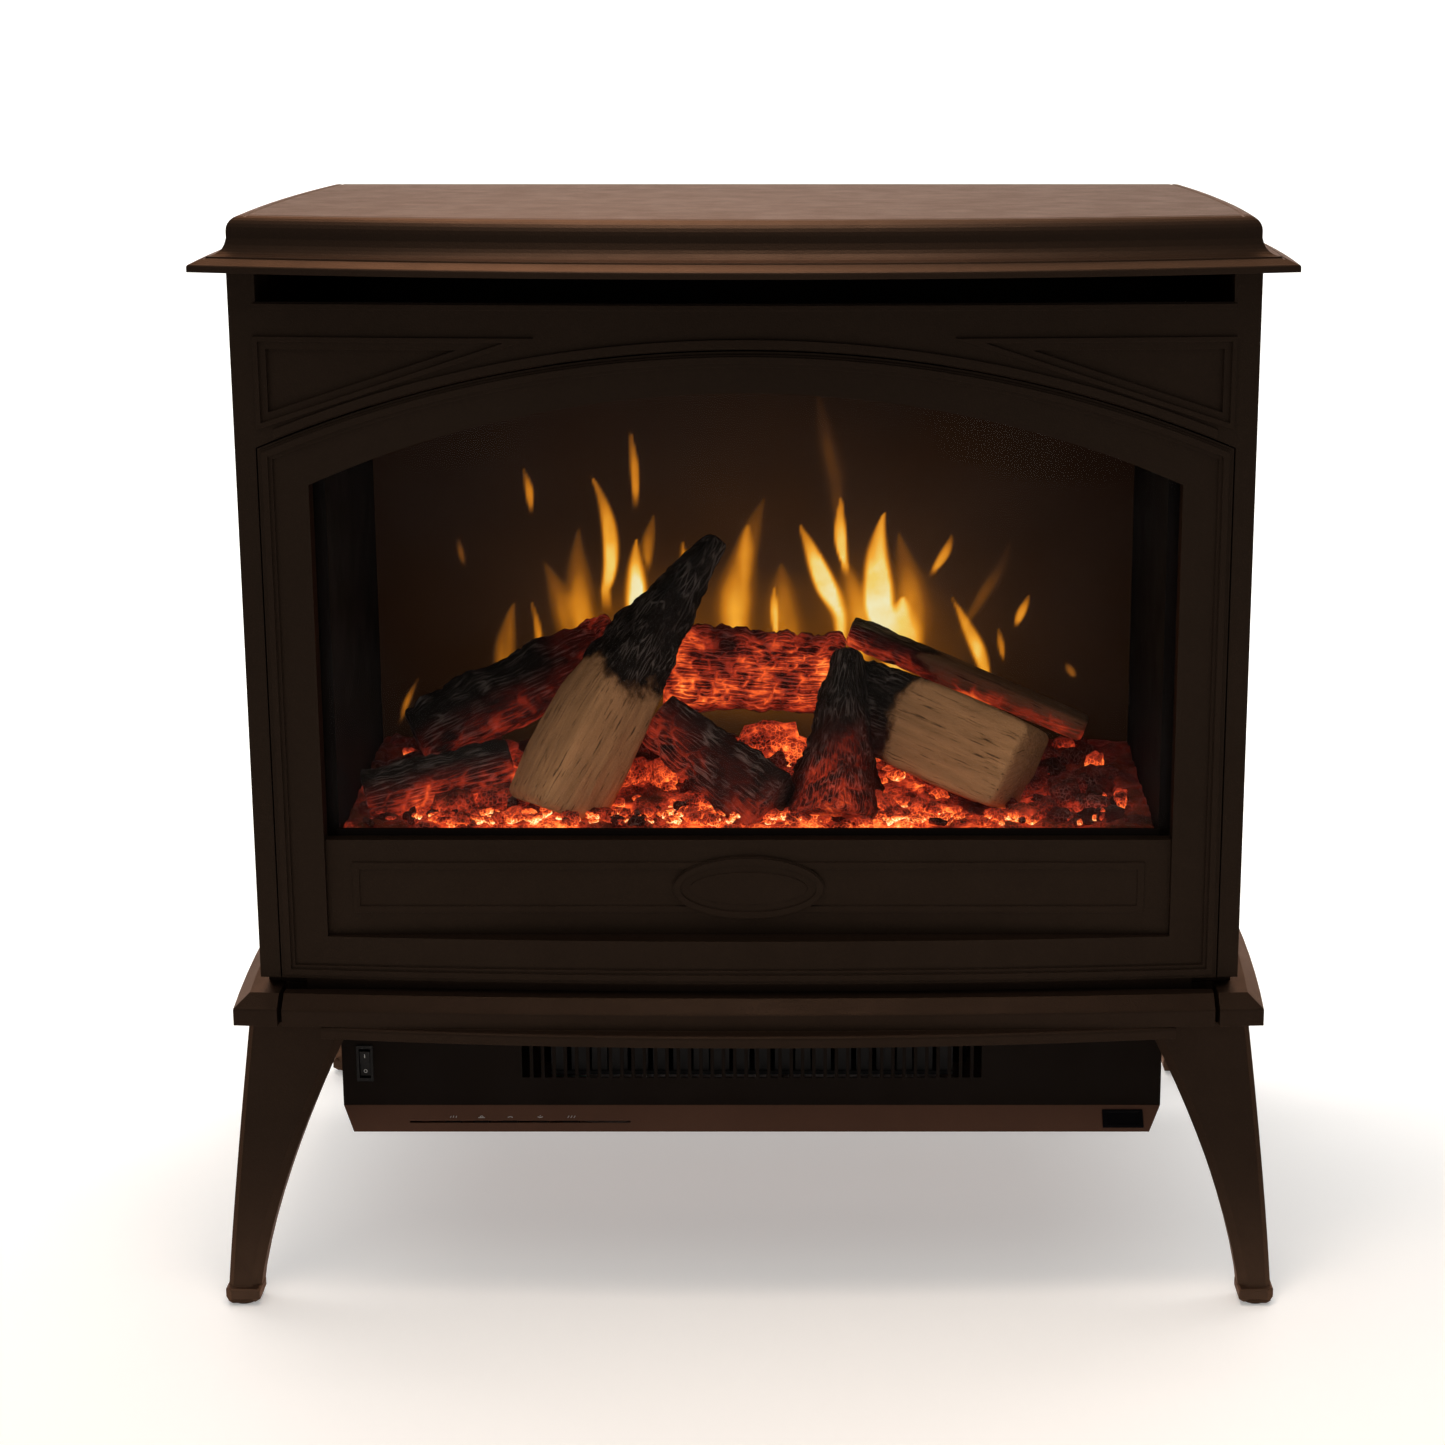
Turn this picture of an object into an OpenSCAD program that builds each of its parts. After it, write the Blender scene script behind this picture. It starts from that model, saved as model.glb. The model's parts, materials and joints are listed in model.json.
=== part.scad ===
// Freestanding electric stove: a cast casing on four sabre legs, with a lift-off arched
// front, a glazed log-effect firebox and a fan heater hung under the base.
// X is the width, Y the depth (the front faces -Y), Z the height above the floor.

/* [Top plate] */
// Width of the top plate across its front corners
top_w = 776; // [772:1:780]
// Front edge of the top plate at its middle
top_front = -276; // [-279:1:-274]
// Radius of the bow along the top plate's front edge
top_front_r = 1320; // [1250:10:1400]
// Straight back edge of the top plate
top_back = 248; // [242:1:254]
// How far the top plate's side edges bow outward
top_side_bow = 10; // [6:1:12]
// Thickness of the top plate's casting
top_skin = 4.5; // [4:0.5:8]

/* [Casing] */
// Width over the casing's side faces
case_w = 738; // [736:1:740]
// Foremost line of the casing's bowed front
case_front = -211; // [-212:0.5:-210]
// How far the casing front bows forward at its middle
case_bow = 18; // [17:0.5:19]
// Back face of the casing
case_back = 226; // [222:1:230]
// Height of the casing's lower edge
case_z0 = 246.5; // [246:0.5:247]
// Height of the casing's upper edge, where the top plate lies
case_z1 = 776; // [775:1:777]
// Thickness of the cast front plates
cast_t = 7; // [6.5:0.5:7]
// Thickness of the side plates
side_t = 4; // [3.5:0.5:6]
// Height of the lower edge of the vent slot under the top plate
vent_z = 753.5; // [752:0.5:755]

/* [Front] */
// Width of the lift-off front
front_w = 705; // [703:1:706]
// Height of the crown of the lift-off front
front_crown = 720; // [719:1:721]
// Radius of the arch on the lift-off front
front_arch_r = 899; // [890:1:905]
// Width of the window opening
window_w = 632; // [630:1:634]
// Height of the window opening's lower edge
window_z0 = 280; // [279:0.5:281]
// Height of the window opening's crown
window_crown = 690; // [688:1:691]
// Radius of the arch over the window opening
window_arch_r = 768; // [764:1:772]
// Gap all round between the front and the surround
front_gap = 1; // [0.8:0.1:1.4]

/* [Base] */
// Width of the base plate at the middle of its depth
base_w = 792; // [788:1:796]
// Foremost line of the base plate
base_front = -232; // [-233:0.5:-231]
// Radius of the bow along the base plate's front edge
base_front_r = 4900; // [4600:50:5200]
// Height of the base plate's lower face
base_z0 = 216; // [216:1:216]
// Thickness of the base plate
base_t = 22.5; // [22:0.5:23]
// Metal left above the pockets under the base plate
base_skin = 4.5; // [4:0.5:6]
// Width of the slit between the apron and the base plate
slit_w = 3.5; // [3:0.5:4]

/* [Legs] */
// Distance from the middle of the stove to the outside of a foot
foot_x = 398; // [396:1:400]
// Foremost point of the front feet
foot_y = -243; // [-245:1:-241]
// Width of a foot
foot_w = 25; // [24:1:27]
// Width of a leg where it meets the base
leg_top_w = 78; // [76:1:80]

/* [Heater] */
// Width of the heater case
heater_w = 642; // [640:1:644]
// Front face of the heater case
heater_front = -134; // [-134:1:-132]
// Back face of the heater case
heater_back = 110; // [105:1:115]
// Height of the heater case's lower edge, above the control tray
heater_z0 = 120; // [119:0.5:121]
// Height of the control tray's floor
tray_z0 = 104; // [104:0.5:105]
// Sheet thickness of the heater case and the tray
sheet_t = 1.5; // [1.2:0.1:2]
// Number of slots in the outlet grille
slot_n = 41; // [35:1:41]
// Distance from one grille slot to the next
slot_pitch = 8.85; // [8.6:0.05:8.9]
// Width of one grille slot
slot_w = 6.1; // [5.6:0.1:6.3]
// Diameter of the blower wheel
wheel_d = 48; // [44:1:50]

/* [Firebox] */
// Inside width of the firebox
box_w = 617; // [615:1:618]
// Height of the firebox floor
box_z0 = 345; // [344:0.5:346]
// Height of the firebox ceiling
box_z1 = 705; // [700:1:708]
// Front of the glass pane
glass_y = -177; // [-178:0.5:-176.5]
// Front of the flame screen
screen_y = 45; // [43:0.5:47]
// Inside of the firebox's back wall
box_back = 160; // [155:1:165]

/* [Fits] */
// Diameter of the flicker spindle and the blower shaft
shaft_d = 6; // [6:0.5:6]
// Radial running clearance round a shaft or a peg
run_gap = 0.05; // [0.03:0.01:0.08]

/* [Hidden] */

fine = 720;
round_fn = 48;
e = 0.01;
half_w = case_w / 2;
depth_mid = 16.5;
base_top = base_z0 + base_t;
case_r = arc_radius(half_w, case_bow);
skin_back = case_front + cast_t;

function arc_radius(half, bow) = (half * half + bow * bow) / (2 * bow);
function arc_pts(c, r, a0, a1, n) =
    [for (i = [0:n]) let (a = a0 + (a1 - a0) * i / n) c + r * [cos(a), sin(a)]];
function oval_pts(a, b, n) = [for (i = [0:n - 1]) [a * cos(360 * i / n), b * sin(360 * i / n)]];

// ---- shared shapes ----

// Extrudes a front-view outline (x, z) from y0 to y1
module facing(y0, y1) {
    rotate([90, 0, 0]) translate([0, 0, -y1]) linear_extrude(y1 - y0) children();
}

// Extrudes a side-view outline (y, z) from x0 to x1
module sideways(x0, x1) {
    rotate([90, 0, 90]) translate([0, 0, x0]) linear_extrude(x1 - x0) children();
}

// Block whose front is an arc of radius r, foremost at y_front
module bow_block(y_front, r, x_half, y_back, z0, z1) {
    intersection() {
        translate([0, y_front + r, z0]) cylinder(r = r, h = z1 - z0, $fn = fine);
        translate([-x_half, y_front - 1, z0]) cube([2 * x_half, y_back - y_front + 1, z1 - z0]);
    }
}

// Cast skin that follows the casing's bow: y0 to y1 are depths behind its front line
module bowed_skin(y0, y1) {
    intersection() {
        difference() {
            bow_block(case_front + y0, case_r - y0, half_w, -150, 200, 800);
            bow_block(case_front + y1, case_r - y1, half_w + 1, -149, 199, 801);
        }
        facing(-260, -140) children();
    }
}

// Arch-topped outline with square lower corners
module arch(half, z0, crown, r) {
    intersection() {
        translate([-half, z0]) square([2 * half, crown - z0]);
        translate([0, crown - r]) circle(r = r, $fn = fine);
    }
}

module front_outline(inset) {
    arch(front_w / 2 - inset, case_z0 + inset, front_crown - inset, front_arch_r - inset);
}

module window_outline(grow) {
    arch(window_w / 2 + grow, window_z0 - grow, window_crown + grow, window_arch_r + grow);
}

// Slab with the same moulded edge all round: bowed front, bowed sides, straight back.
// The profile is a list of [inset from the edge, height].
module moulded_disc(profile, r) {
    top = profile[len(profile) - 1][1];
    rotate_extrude($fn = fine)
        polygon(concat([[0, profile[0][1]]], [for (p = profile) [r - p[0], p[1]]], [[0, top]]));
}

module moulded_slab(profile, front, front_r, side, side_bow, back) {
    side_y = (front + back) / 2;
    side_r = arc_radius((back - front) / 2, side_bow);
    top = profile[len(profile) - 1][1];
    intersection() {
        translate([0, front + front_r, 0]) moulded_disc(profile, front_r);
        translate([side - side_r, side_y, 0]) rotate([0, 0, 180]) moulded_disc(profile, side_r);
        translate([side_r - side, side_y, 0]) moulded_disc(profile, side_r);
        sideways(-side, side)
            polygon(concat([[front - 5, profile[0][1]]],
                           [for (p = profile) [back - p[0], p[1]]], [[front - 5, top]]));
    }
}

// ---- casing ----

top_profile = concat(
    [[0, case_z1]],
    arc_pts([2, case_z1 + 3.5], 2, 180, 90, 3),
    [[10.4, case_z1 + 9.2], [11, case_z1 + 8.4], [12.4, case_z1 + 8.6]],
    arc_pts([13, case_z1 + 23], 12.7, -90, -10, 6),
    [[26, case_z1 + 22.5]],
    arc_pts([36.5, case_z1 + 27.5], 10.5, 180, 90, 6),
    [[38.2, case_z1 + 38], [38.9, case_z1 + 37.1], [40.4, case_z1 + 37.1], [41.2, case_z1 + 38]]);

top_rim = 14;
top_t = 38;

module top_plate() color("#5a4a42") difference() {
    moulded_slab(top_profile, top_front, top_front_r, top_w / 2 + top_side_bow, top_side_bow,
                 top_back);
    translate([-half_w + top_rim, -180, case_z1 - 1])
        cube([case_w - 2 * top_rim, case_back + 180 - top_rim, top_t + 1 - top_skin]);
}

// Right-hand corner triangle above the arch, and the same moved inward by d
spandrel = [[352, 729], [150, 729], [352, 662]];
function side_len(t, i) = norm(t[(i + 1) % 3] - t[(i + 2) % 3]);
function inset_tri(t, d) =
    let (w = [for (i = [0:2]) side_len(t, i)], p = w[0] + w[1] + w[2],
         c = (t[0] * w[0] + t[1] * w[1] + t[2] * w[2]) / p,
         area = abs((t[1] - t[0])[0] * (t[2] - t[0])[1] - (t[1] - t[0])[1] * (t[2] - t[0])[0]) / 2,
         r = 2 * area / p)
    [for (v = t) v + (c - v) * d / r];

module both_sides() {
    children();
    mirror([1, 0]) children();
}

// Bead that follows the arch above the front: its two radii outside the arch, and its reach
arch_bead = [2.2, 8.4];
arch_bead_proud = 2.4;
arch_bead_half = 340;

module front_surround() color("#2e2520") {
    vent_half = half_w - 20;
    difference() {
        bowed_skin(0, cast_t) difference() {
            translate([-half_w, case_z0]) square([case_w, case_z1 - case_z0]);
            front_outline(-front_gap);
            translate([-vent_half, vent_z]) square([2 * vent_half, 40]);
        }
        bowed_skin(-1, 3) both_sides() polygon(inset_tri(spandrel, 9));
    }
    bowed_skin(-2.2, e) {
        translate([-vent_half - 2, vent_z - 5]) square([2 * vent_half + 4, 4]);
        both_sides() difference() {
            polygon(spandrel);
            polygon(inset_tri(spandrel, 3.5));
        }
    }
    bowed_skin(-arch_bead_proud, e) intersection() {
        translate([0, front_crown - front_arch_r]) difference() {
            circle(r = front_arch_r + arch_bead[1], $fn = fine);
            circle(r = front_arch_r + arch_bead[0], $fn = fine);
        }
        translate([-arch_bead_half, case_z0]) square([2 * arch_bead_half, case_z1 - case_z0]);
    }
    for (s = [-1, 1]) intersection() {
        bow_block(case_front + cast_t - e, case_r - cast_t + e, half_w, -170, case_z0, case_z1);
        translate([s > 0 ? half_w - 8 : -half_w, -220, case_z0]) cube([8, 60, case_z1 - case_z0]);
    }
}

screw_x = half_w - 19;
screw_z = [262, 428, 594, 760];

flange_w = 27;
flange_t = 10;

// Side plate with a flange turned in at the back, where the back panel is screwed on
module side_panel() difference() {
    union() {
        translate([half_w - side_t, -170, case_z0]) cube([side_t, case_back + 170, case_z1 - case_z0]);
        translate([half_w - side_t - flange_w, case_back - 4 - flange_t, case_z0 + 2])
            cube([flange_w, flange_t, case_z1 - case_z0 - 4]);
    }
    for (z = screw_z) translate([screw_x, case_back - 16, z]) rotate([-90, 0, 0])
        cylinder(d = 4.1, h = 13, $fn = round_fn);
}

module side_panel_left() color("#2c231e") mirror([1, 0, 0]) side_panel();
module side_panel_right() color("#2c231e") side_panel();

// Air slots in the back panel: size, spacing along a row, and the rows
vent_size = [5, 46];
vent_pitch = 14;
vent_row_z = 500;
vent_row_pitch = 62;

module back_panel() color("#26221f") difference() {
    translate([-half_w + 5, case_back - 4, case_z0 + 1]) cube([case_w - 10, 2, 526]);
    for (row = [0:2], i = [-9:9])
        translate([i * vent_pitch - vent_size[0] / 2, case_back - 6, vent_row_z + row * vent_row_pitch])
            cube([vent_size[0], 6, vent_size[1]]);
    for (s = [-1, 1], z = screw_z) translate([s * screw_x, case_back - 1, z]) rotate([90, 0, 0])
        cylinder(d = 4.2, h = 4, $fn = round_fn);
}

module back_screws() color("silver") for (s = [-1, 1], z = screw_z)
    translate([s * screw_x, case_back - 2, z]) rotate([-90, 0, 0]) {
        cylinder(d = 8, h = 1.8, $fn = round_fn);
        translate([0, 0, -8]) cylinder(d = 4, h = 8 + e, $fn = round_fn);
    }

// ---- base and legs ----

base_profile = concat(
    [[0, base_z0]],
    arc_pts([2, base_z0 + 12], 2, 180, 110, 3),
    [[12, base_top]]);
apron_half = front_w / 2 - slit_w + 0.5;
apron_back = -198;
apron_wall = 5;

module base_slab() {
    moulded_slab(base_profile, base_front, base_front_r, base_w / 2, 11, top_back);
}

bolt_x = [326, 350];
bolt_y = -163;

module at_each_leg() for (side = [0, 1], end = [0, 1])
    mirror([side, 0, 0]) translate([0, end * 2 * depth_mid, 0]) mirror([0, end, 0]) children();

// Pockets under the base plate: half width, front and back
base_pockets = [[290, -172, 230], [376, -120, 150]];

module base_plate() color("#332924") difference() {
    union() {
        base_slab();
        difference() {
            bow_block(case_front + 16, case_r - 16, half_w - 3, case_back - 2, base_top - e, case_z0);
            bow_block(case_front + 24, case_r - 24, half_w - 11, case_back - 10, base_top - 1,
                      case_z0 + 1);
        }
    }
    difference() {
        translate([-apron_half - slit_w, base_front - 10, base_z0 - 1])
            cube([2 * (apron_half + slit_w), -160 - base_front, base_t + 10]);
        translate([0, case_front + case_r, base_z0 - 2])
            cylinder(r = case_r - cast_t - apron_wall - 2, h = base_t + 12, $fn = fine);
    }
    for (p = base_pockets) translate([-p[0], p[1], base_z0 - 1])
        cube([2 * p[0], p[2] - p[1], base_t + 1 - base_skin]);
    translate([-60, 0, base_z0 - 1]) cube([120, 60, base_t + 2]);
    at_each_leg() for (x = bolt_x)
        translate([x, bolt_y, base_z0 - 1]) cylinder(d = 9, h = base_t + 2, $fn = round_fn);
}

leg_top = base_z0;
leg_foot = 2;
leg_n = 12;
band_proud = 1.5;
leg_top_depth = 69;
leg_out = foot_x - band_proud;
leg_fore = foot_y + band_proud;
function leg_t(z) = (leg_top - z) / (leg_top - leg_foot);
function leg_zs() = [for (i = [0:leg_n]) leg_foot + (leg_top - leg_foot) * i / leg_n];
leg_lean = 20;
leg_reach = 32;
function leg_outer(z) = leg_out - leg_lean * pow(1 - leg_t(z), 1.45);
function leg_front(z) = leg_fore + leg_reach * (1 - pow(leg_t(z), 2.2));
// Size of a leg at height z, which grows from the foot's to top with the given curve
function leg_size(z, top, curve) =
    foot_w - band_proud + (top - foot_w + band_proud) * pow(1 - leg_t(z), curve);
function leg_inner(z) = leg_outer(z) - leg_size(z, leg_top_w, 1.5);
function leg_rear(z) = leg_front(z) + leg_size(z, leg_top_depth, 1.9);

// Everything seen along a horizontal direction turned by a, between the edges lo and hi
module leg_view(a, lo, hi) rotate([0, 0, a]) rotate([90, 0, 0]) translate([0, 0, -800])
    linear_extrude(1600) polygon(concat(lo, [for (i = [len(hi) - 1:-1:0]) hi[i]]));

module leg() {
    r = sqrt(1 / 2);
    zs = leg_zs();
    intersection() {
        leg_view(0, [for (z = zs) [leg_inner(z), z]], [for (z = zs) [leg_outer(z), z]]);
        leg_view(90, [for (z = zs) [leg_front(z), z]], [for (z = zs) [leg_rear(z), z]]);
        leg_view(-45, [for (z = zs) [0, z]],
                 [for (z = zs) [(leg_outer(z) - leg_front(z) - 4) * r, z]]);
        leg_view(45, [for (z = zs) [(leg_inner(z) + leg_front(z) + 7) * r, z]],
                 [for (z = zs) [(leg_outer(z) + leg_rear(z) - 7) * r, z]]);
    }
    foot_band();
}

// The slightly proud band round the foot, with chamfered lower corners
module foot_band() {
    x1 = foot_x;
    x0 = foot_x - foot_w - band_proud;
    y0 = foot_y;
    y1 = foot_y + foot_w + band_proud;
    intersection() {
        facing(y0, y1) band_outline(x0, x1);
        sideways(x0, x1) band_outline(y0, y1);
        leg_view(-45, [[0, 0], [0, 20]],
                 [[(x1 - y0 - 5) * sqrt(1 / 2), 0], [(x1 - y0 - 5) * sqrt(1 / 2), 20]]);
    }
}

module band_outline(a, b) polygon([[a + 4, leg_foot], [b - 4, leg_foot], [b, leg_foot + 4],
    [b, leg_foot + 10], [b - band_proud, leg_foot + 11.5], [a + band_proud, leg_foot + 11.5],
    [a, leg_foot + 10], [a, leg_foot + 4]]);

module drilled_leg() difference() {
    leg();
    for (x = bolt_x) translate([x, bolt_y, leg_top - 22]) cylinder(d = 8.1, h = 30, $fn = round_fn);
}

module to_back() translate([0, 2 * depth_mid, 0]) mirror([0, 1, 0]) children();

module leg_front_right() color("#332924") drilled_leg();
module leg_front_left() color("#332924") mirror([1, 0, 0]) drilled_leg();
module leg_back_right() color("#332924") to_back() drilled_leg();
module leg_back_left() color("#332924") to_back() mirror([1, 0, 0]) drilled_leg();

glide_d = 17;
module foot_glides() color("#1a1a1a") at_each_leg()
    translate([foot_x - foot_w / 2 - 0.5, foot_y + foot_w / 2 + 0.5, 0])
        cylinder(d = glide_d, h = leg_foot, $fn = round_fn);

module leg_bolts() color("dimgray") at_each_leg() for (x = bolt_x) translate([x, bolt_y, 0]) {
    translate([0, 0, base_top]) cylinder(d = 13, h = 5, $fn = round_fn);
    translate([0, 0, leg_top - 20]) cylinder(d = 8, h = base_t + 20 + e, $fn = round_fn);
}

// ---- lift-off front ----

peg_x = 346;
peg_z = [300, 600];

module front_frame() color("#332924") difference() {
    union() {
        bowed_skin(0, cast_t) difference() {
            front_outline(0);
            window_outline(0);
        }
        bowed_skin(-1.8, e) difference() {
            front_outline(2);
            front_outline(11);
        }
        bowed_skin(-3.6, -1.7) difference() {
            front_outline(3.5);
            front_outline(8);
        }
        intersection() {
            bow_block(case_front + 1, case_r - 1, half_w, -181, 250, 720);
            facing(-260, -140) difference() {
                window_outline(6);
                window_outline(0);
            }
        }
    }
    for (s = [-1, 1], z = peg_z)
        translate([s * peg_x, -187, z]) rotate([90, 0, 0]) cylinder(d = shaft_d, h = 5, $fn = round_fn);
}

lip_r = 2449;
lip_front = -243;
lip_half = 320;
lip_z0 = 207.5;
lip_profile = concat([[0, lip_z0]], arc_pts([3, lip_z0 + 6], 3, 180, 100, 3), [[8, lip_z0 + 9.5]]);

module front_apron() color("#332924") {
    intersection() {
        base_slab();
        translate([-apron_half, base_front - 5, base_z0 + 0.5])
            cube([2 * apron_half, apron_back - base_front + 5, base_t]);
    }
    intersection() {
        translate([0, lip_front + lip_r, 0]) moulded_disc(lip_profile, lip_r);
        translate([0, 0, lip_z0]) linear_extrude(9.5) polygon([[-lip_half, -212],
            [-lip_half, -226], [-lip_half + 14, -250], [lip_half - 14, -250],
            [lip_half, -226], [lip_half, -212]]);
    }
    difference() {
        bow_block(skin_back, case_r - cast_t, 335, -180, base_z0 + 1, case_z0 + 25);
        bow_block(skin_back + apron_wall, case_r - cast_t - apron_wall, 336, -179, base_z0,
                  case_z0 + 26);
    }
}

panel_y = -193;

module inset_panel() color("#2b221d") {
    half = window_w / 2;
    top = box_z0 + 9;
    mid = (window_z0 + top) / 2;
    translate([-half, panel_y, window_z0]) cube([2 * half, 6, top - window_z0]);
    translate([-half, panel_y + 6 - e, top - 4]) cube([2 * half, 5.7, 4]);
    facing(panel_y - 1.2, panel_y + e) difference() {
        translate([-296.5, mid - 19.5]) square([593, 39]);
        translate([-291.5, mid - 14.5]) square([583, 29]);
    }
    facing(panel_y - 2.5, panel_y + e) translate([0, mid])
        polygon(oval_pts(57, 24.5, 72));
    facing(panel_y - 3.8, panel_y - 2.4) translate([0, mid]) difference() {
        polygon(oval_pts(56, 23.5, 72));
        polygon(oval_pts(51, 18.5, 72));
    }
    facing(panel_y - 3.2, panel_y - 2.4) translate([0, mid]) polygon(oval_pts(44, 12.5, 72));
}

module locating_pegs() color("silver") for (s = [-1, 1], z = peg_z)
    translate([s * peg_x, -192, z]) rotate([-90, 0, 0]) cylinder(d = shaft_d, h = 17, $fn = round_fn);

module peg_sockets() color("black") for (s = [-1, 1], z = peg_z)
    translate([s * peg_x, -186, z]) rotate([-90, 0, 0]) difference() {
        cylinder(d = 12, h = 13, $fn = round_fn);
        translate([0, 0, -1]) cylinder(r = shaft_d / 2 + run_gap, h = 15, $fn = round_fn);
    }

// ---- firebox ----

wall = 1.5;
flange_y = glass_y + 4;
box_half = box_w / 2;

module glass_pane() color([0.5, 0.5, 0.5, 0.3])
    translate([-box_half - 20, glass_y, box_z0 - 10]) cube([box_w + 40, 4, box_z1 - box_z0 + 20]);

module glass_retainers() color("#111111") {
    for (s = [-1, 1]) mirror([s < 0 ? 1 : 0, 0, 0]) {
        translate([box_half + 15, glass_y - 4, 380]) cube([15, 3.7, 250]);
        translate([box_half + 22, glass_y - 0.3 - e, 380]) cube([8, 4.3 + e, 250]);
    }
    translate([-box_half, glass_y - 4, box_z0 + 3]) cube([box_w, 3.7, 11]);
}

module firebox_shell() color("#141414") {
    difference() {
        translate([-box_half - wall, flange_y, box_z0 - wall])
            cube([box_w + 2 * wall, box_back + wall - flange_y, box_z1 - box_z0 + 2 * wall]);
        translate([-box_half, flange_y - 1, box_z0])
            cube([box_w, box_back - flange_y + 1, box_z1 - box_z0]);
    }
    difference() {
        translate([-half_w + 8.2, flange_y, 262]) cube([case_w - 16.4, wall, 478]);
        translate([-box_half - e, flange_y - 1, box_z0 - e])
            cube([box_w + 2 * e, 4, box_z1 - box_z0 + 2 * e]);
    }
}

module flame_screen() color([0.25, 0.14, 0.07, 0.9])
    translate([-box_half + 1, screen_y, box_z0 + 5]) cube([box_w - 2, 3, box_z1 - box_z0 - 8]);

module screen_clips() color("#333333") for (s = [-1, 1], z = [400, 660])
    mirror([s < 0 ? 1 : 0, 0, 0]) {
        translate([box_half - 14, screen_y + 3, z]) cube([14, 2, 18]);
        translate([box_half - 2, screen_y + 5 - e, z]) cube([2, 12, 18]);
    }

// One log: a tapered round billet from a foot point, turned by az and raised by el
module billet(foot, az, el, length, r0, r1) translate(foot) rotate([0, 90 - el, az])
    cylinder(r1 = r0, r2 = r1, h = length, $fn = 32);

module leaning() billet([-146, -122, 368], 42, 49, 235, 30, 15);
module split() billet([92, -52, 424], -30, -15, 140, 27, 33);
module thin() billet([78, 16, 470], -6, -22, 205, 15, 20);
module upright() billet([66, -136, 366], 80, 62, 118, 26, 15);
module left() billet([-262, -42, 392], 18, 22, 165, 25, 18);
module back() billet([-72, 4, 438], 2, -3, 145, 30, 26);
module centre() billet([10, -138, 370], 143, 25, 105, 23, 17);
module low() billet([-296, -118, 364], 12, 12, 115, 18, 15);

module all_logs() {
    leaning();
    split();
    thin();
    upright();
    left();
    back();
    centre();
    low();
}

module ember_bed() color("#b5421c") difference() {
    sideways(-box_half + 2, box_half - 2)
        polygon([[-168, box_z0 + 7], [-168, box_z0 + 12], [screen_y - 4, box_z0 + 28],
                 [screen_y - 4, box_z0 + 7]]);
    all_logs();
}

module log_leaning() color("#8a6a4a") leaning();
module log_split() color("#9a7550") split();
module log_thin() color("#4a3526") thin();
module log_upright() color("#3a2a20") upright();
module log_left() color("#3a221a") left();
module log_back() color("#8c2f14") back();
module log_centre() color("#5a1f12") centre();
module log_low() color("#4a1c12") low();

module light_strip(x_half, y, depth, count) {
    translate([-x_half, y, box_z0 + 1]) cube([2 * x_half, depth, 1.6]);
    for (i = [0:count - 1])
        translate([-x_half + (i + 0.5) * 2 * x_half / count - 2.5, y + depth / 2 - 2.5, box_z0 + 2.6])
            cube([5, 5, 1.4]);
    for (s = [-1, 1]) translate([s * (x_half - 8) - 3, y + 2, box_z0]) cube([6, 6, 1]);
}

module ember_lights() color("darkgreen") light_strip(270, -90, 24, 12);
module flame_lights() color("darkgreen") light_strip(240, 128, 18, 10);

module flame_mask() color("#888888") difference() {
    translate([-box_half + 3, 62, box_z0]) cube([box_w - 6, 1, 300]);
    for (i = [-6:6]) let (h = 90 + 40 * (i % 2 == 0 ? 1 : 0) + 30 * cos(i * 26))
        facing(61, 64) polygon([[i * 36 - 7, box_z0 + 40], [i * 36 + 9, box_z0 + 52],
            [i * 36 + 5, box_z0 + 40 + h], [i * 36 - 3, box_z0 + 30 + h * 0.6]]);
}

spin_y = 98;
spin_z = 385;

module flicker_spindle() color("silver") translate([0, spin_y, spin_z]) rotate([0, 90, 0]) {
    translate([0, 0, -278]) cylinder(d = shaft_d, h = 556, $fn = round_fn);
    for (i = [0:15]) rotate([0, 0, i * 67.5]) translate([-0.5, -14, -256 + i * 32])
        cube([1, 28, 26]);
}

module spindle_bearing() color("white") difference() {
    translate([268, spin_y - 8, box_z0]) cube([12, 16, spin_z - box_z0 + 9]);
    translate([260, spin_y, spin_z]) rotate([0, 90, 0])
        cylinder(r = shaft_d / 2 + run_gap, h = 30, $fn = round_fn);
}

module flicker_motor() color("dimgray") difference() {
    union() {
        translate([-282, spin_y, spin_z]) rotate([0, 90, 0]) cylinder(d = 34, h = 14, $fn = round_fn);
        translate([-300, spin_y, spin_z]) rotate([0, 90, 0]) cylinder(d = 42, h = 18 + e, $fn = round_fn);
        translate([-300, spin_y - 12, box_z0]) cube([18, 24, spin_z - box_z0 - 12]);
    }
    translate([-280, spin_y, spin_z]) rotate([0, 90, 0])
        cylinder(r = shaft_d / 2 + run_gap, h = 30, $fn = round_fn);
}

// ---- heater ----

heater_half = heater_w / 2;
switch_x = -303;
switch_z = 155;
inlet_x = 262;
inlet_z = 160;

heater_h = base_z0 - heater_z0;
heater_depth = heater_back - heater_front;

// Top and ends of the heater case; the front and back sheets close it
module heater_case() color("#1d1816") difference() {
    translate([-heater_half, heater_front + sheet_t, heater_z0])
        cube([heater_w, heater_depth - 2 * sheet_t, heater_h]);
    translate([-heater_half + sheet_t, heater_front, heater_z0 - 1])
        cube([heater_w - 2 * sheet_t, heater_depth, heater_h - sheet_t + 1]);
    translate([-60, 0, base_z0 - 5]) cube([120, 60, 10]);
}

module upright_sheet(y) translate([-heater_half, y, heater_z0]) cube([heater_w, sheet_t, heater_h]);

module outlet_panel() color("#1d1816") difference() {
    upright_sheet(heater_front);
    for (i = [0:slot_n - 1])
        translate([(i - (slot_n - 1) / 2) * slot_pitch - slot_w / 2, heater_front - 1, 143])
            cube([slot_w, 4, 29]);
    translate([switch_x - 5.5, heater_front - 1, switch_z - 13.5]) cube([11, 4, 27]);
}

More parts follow.
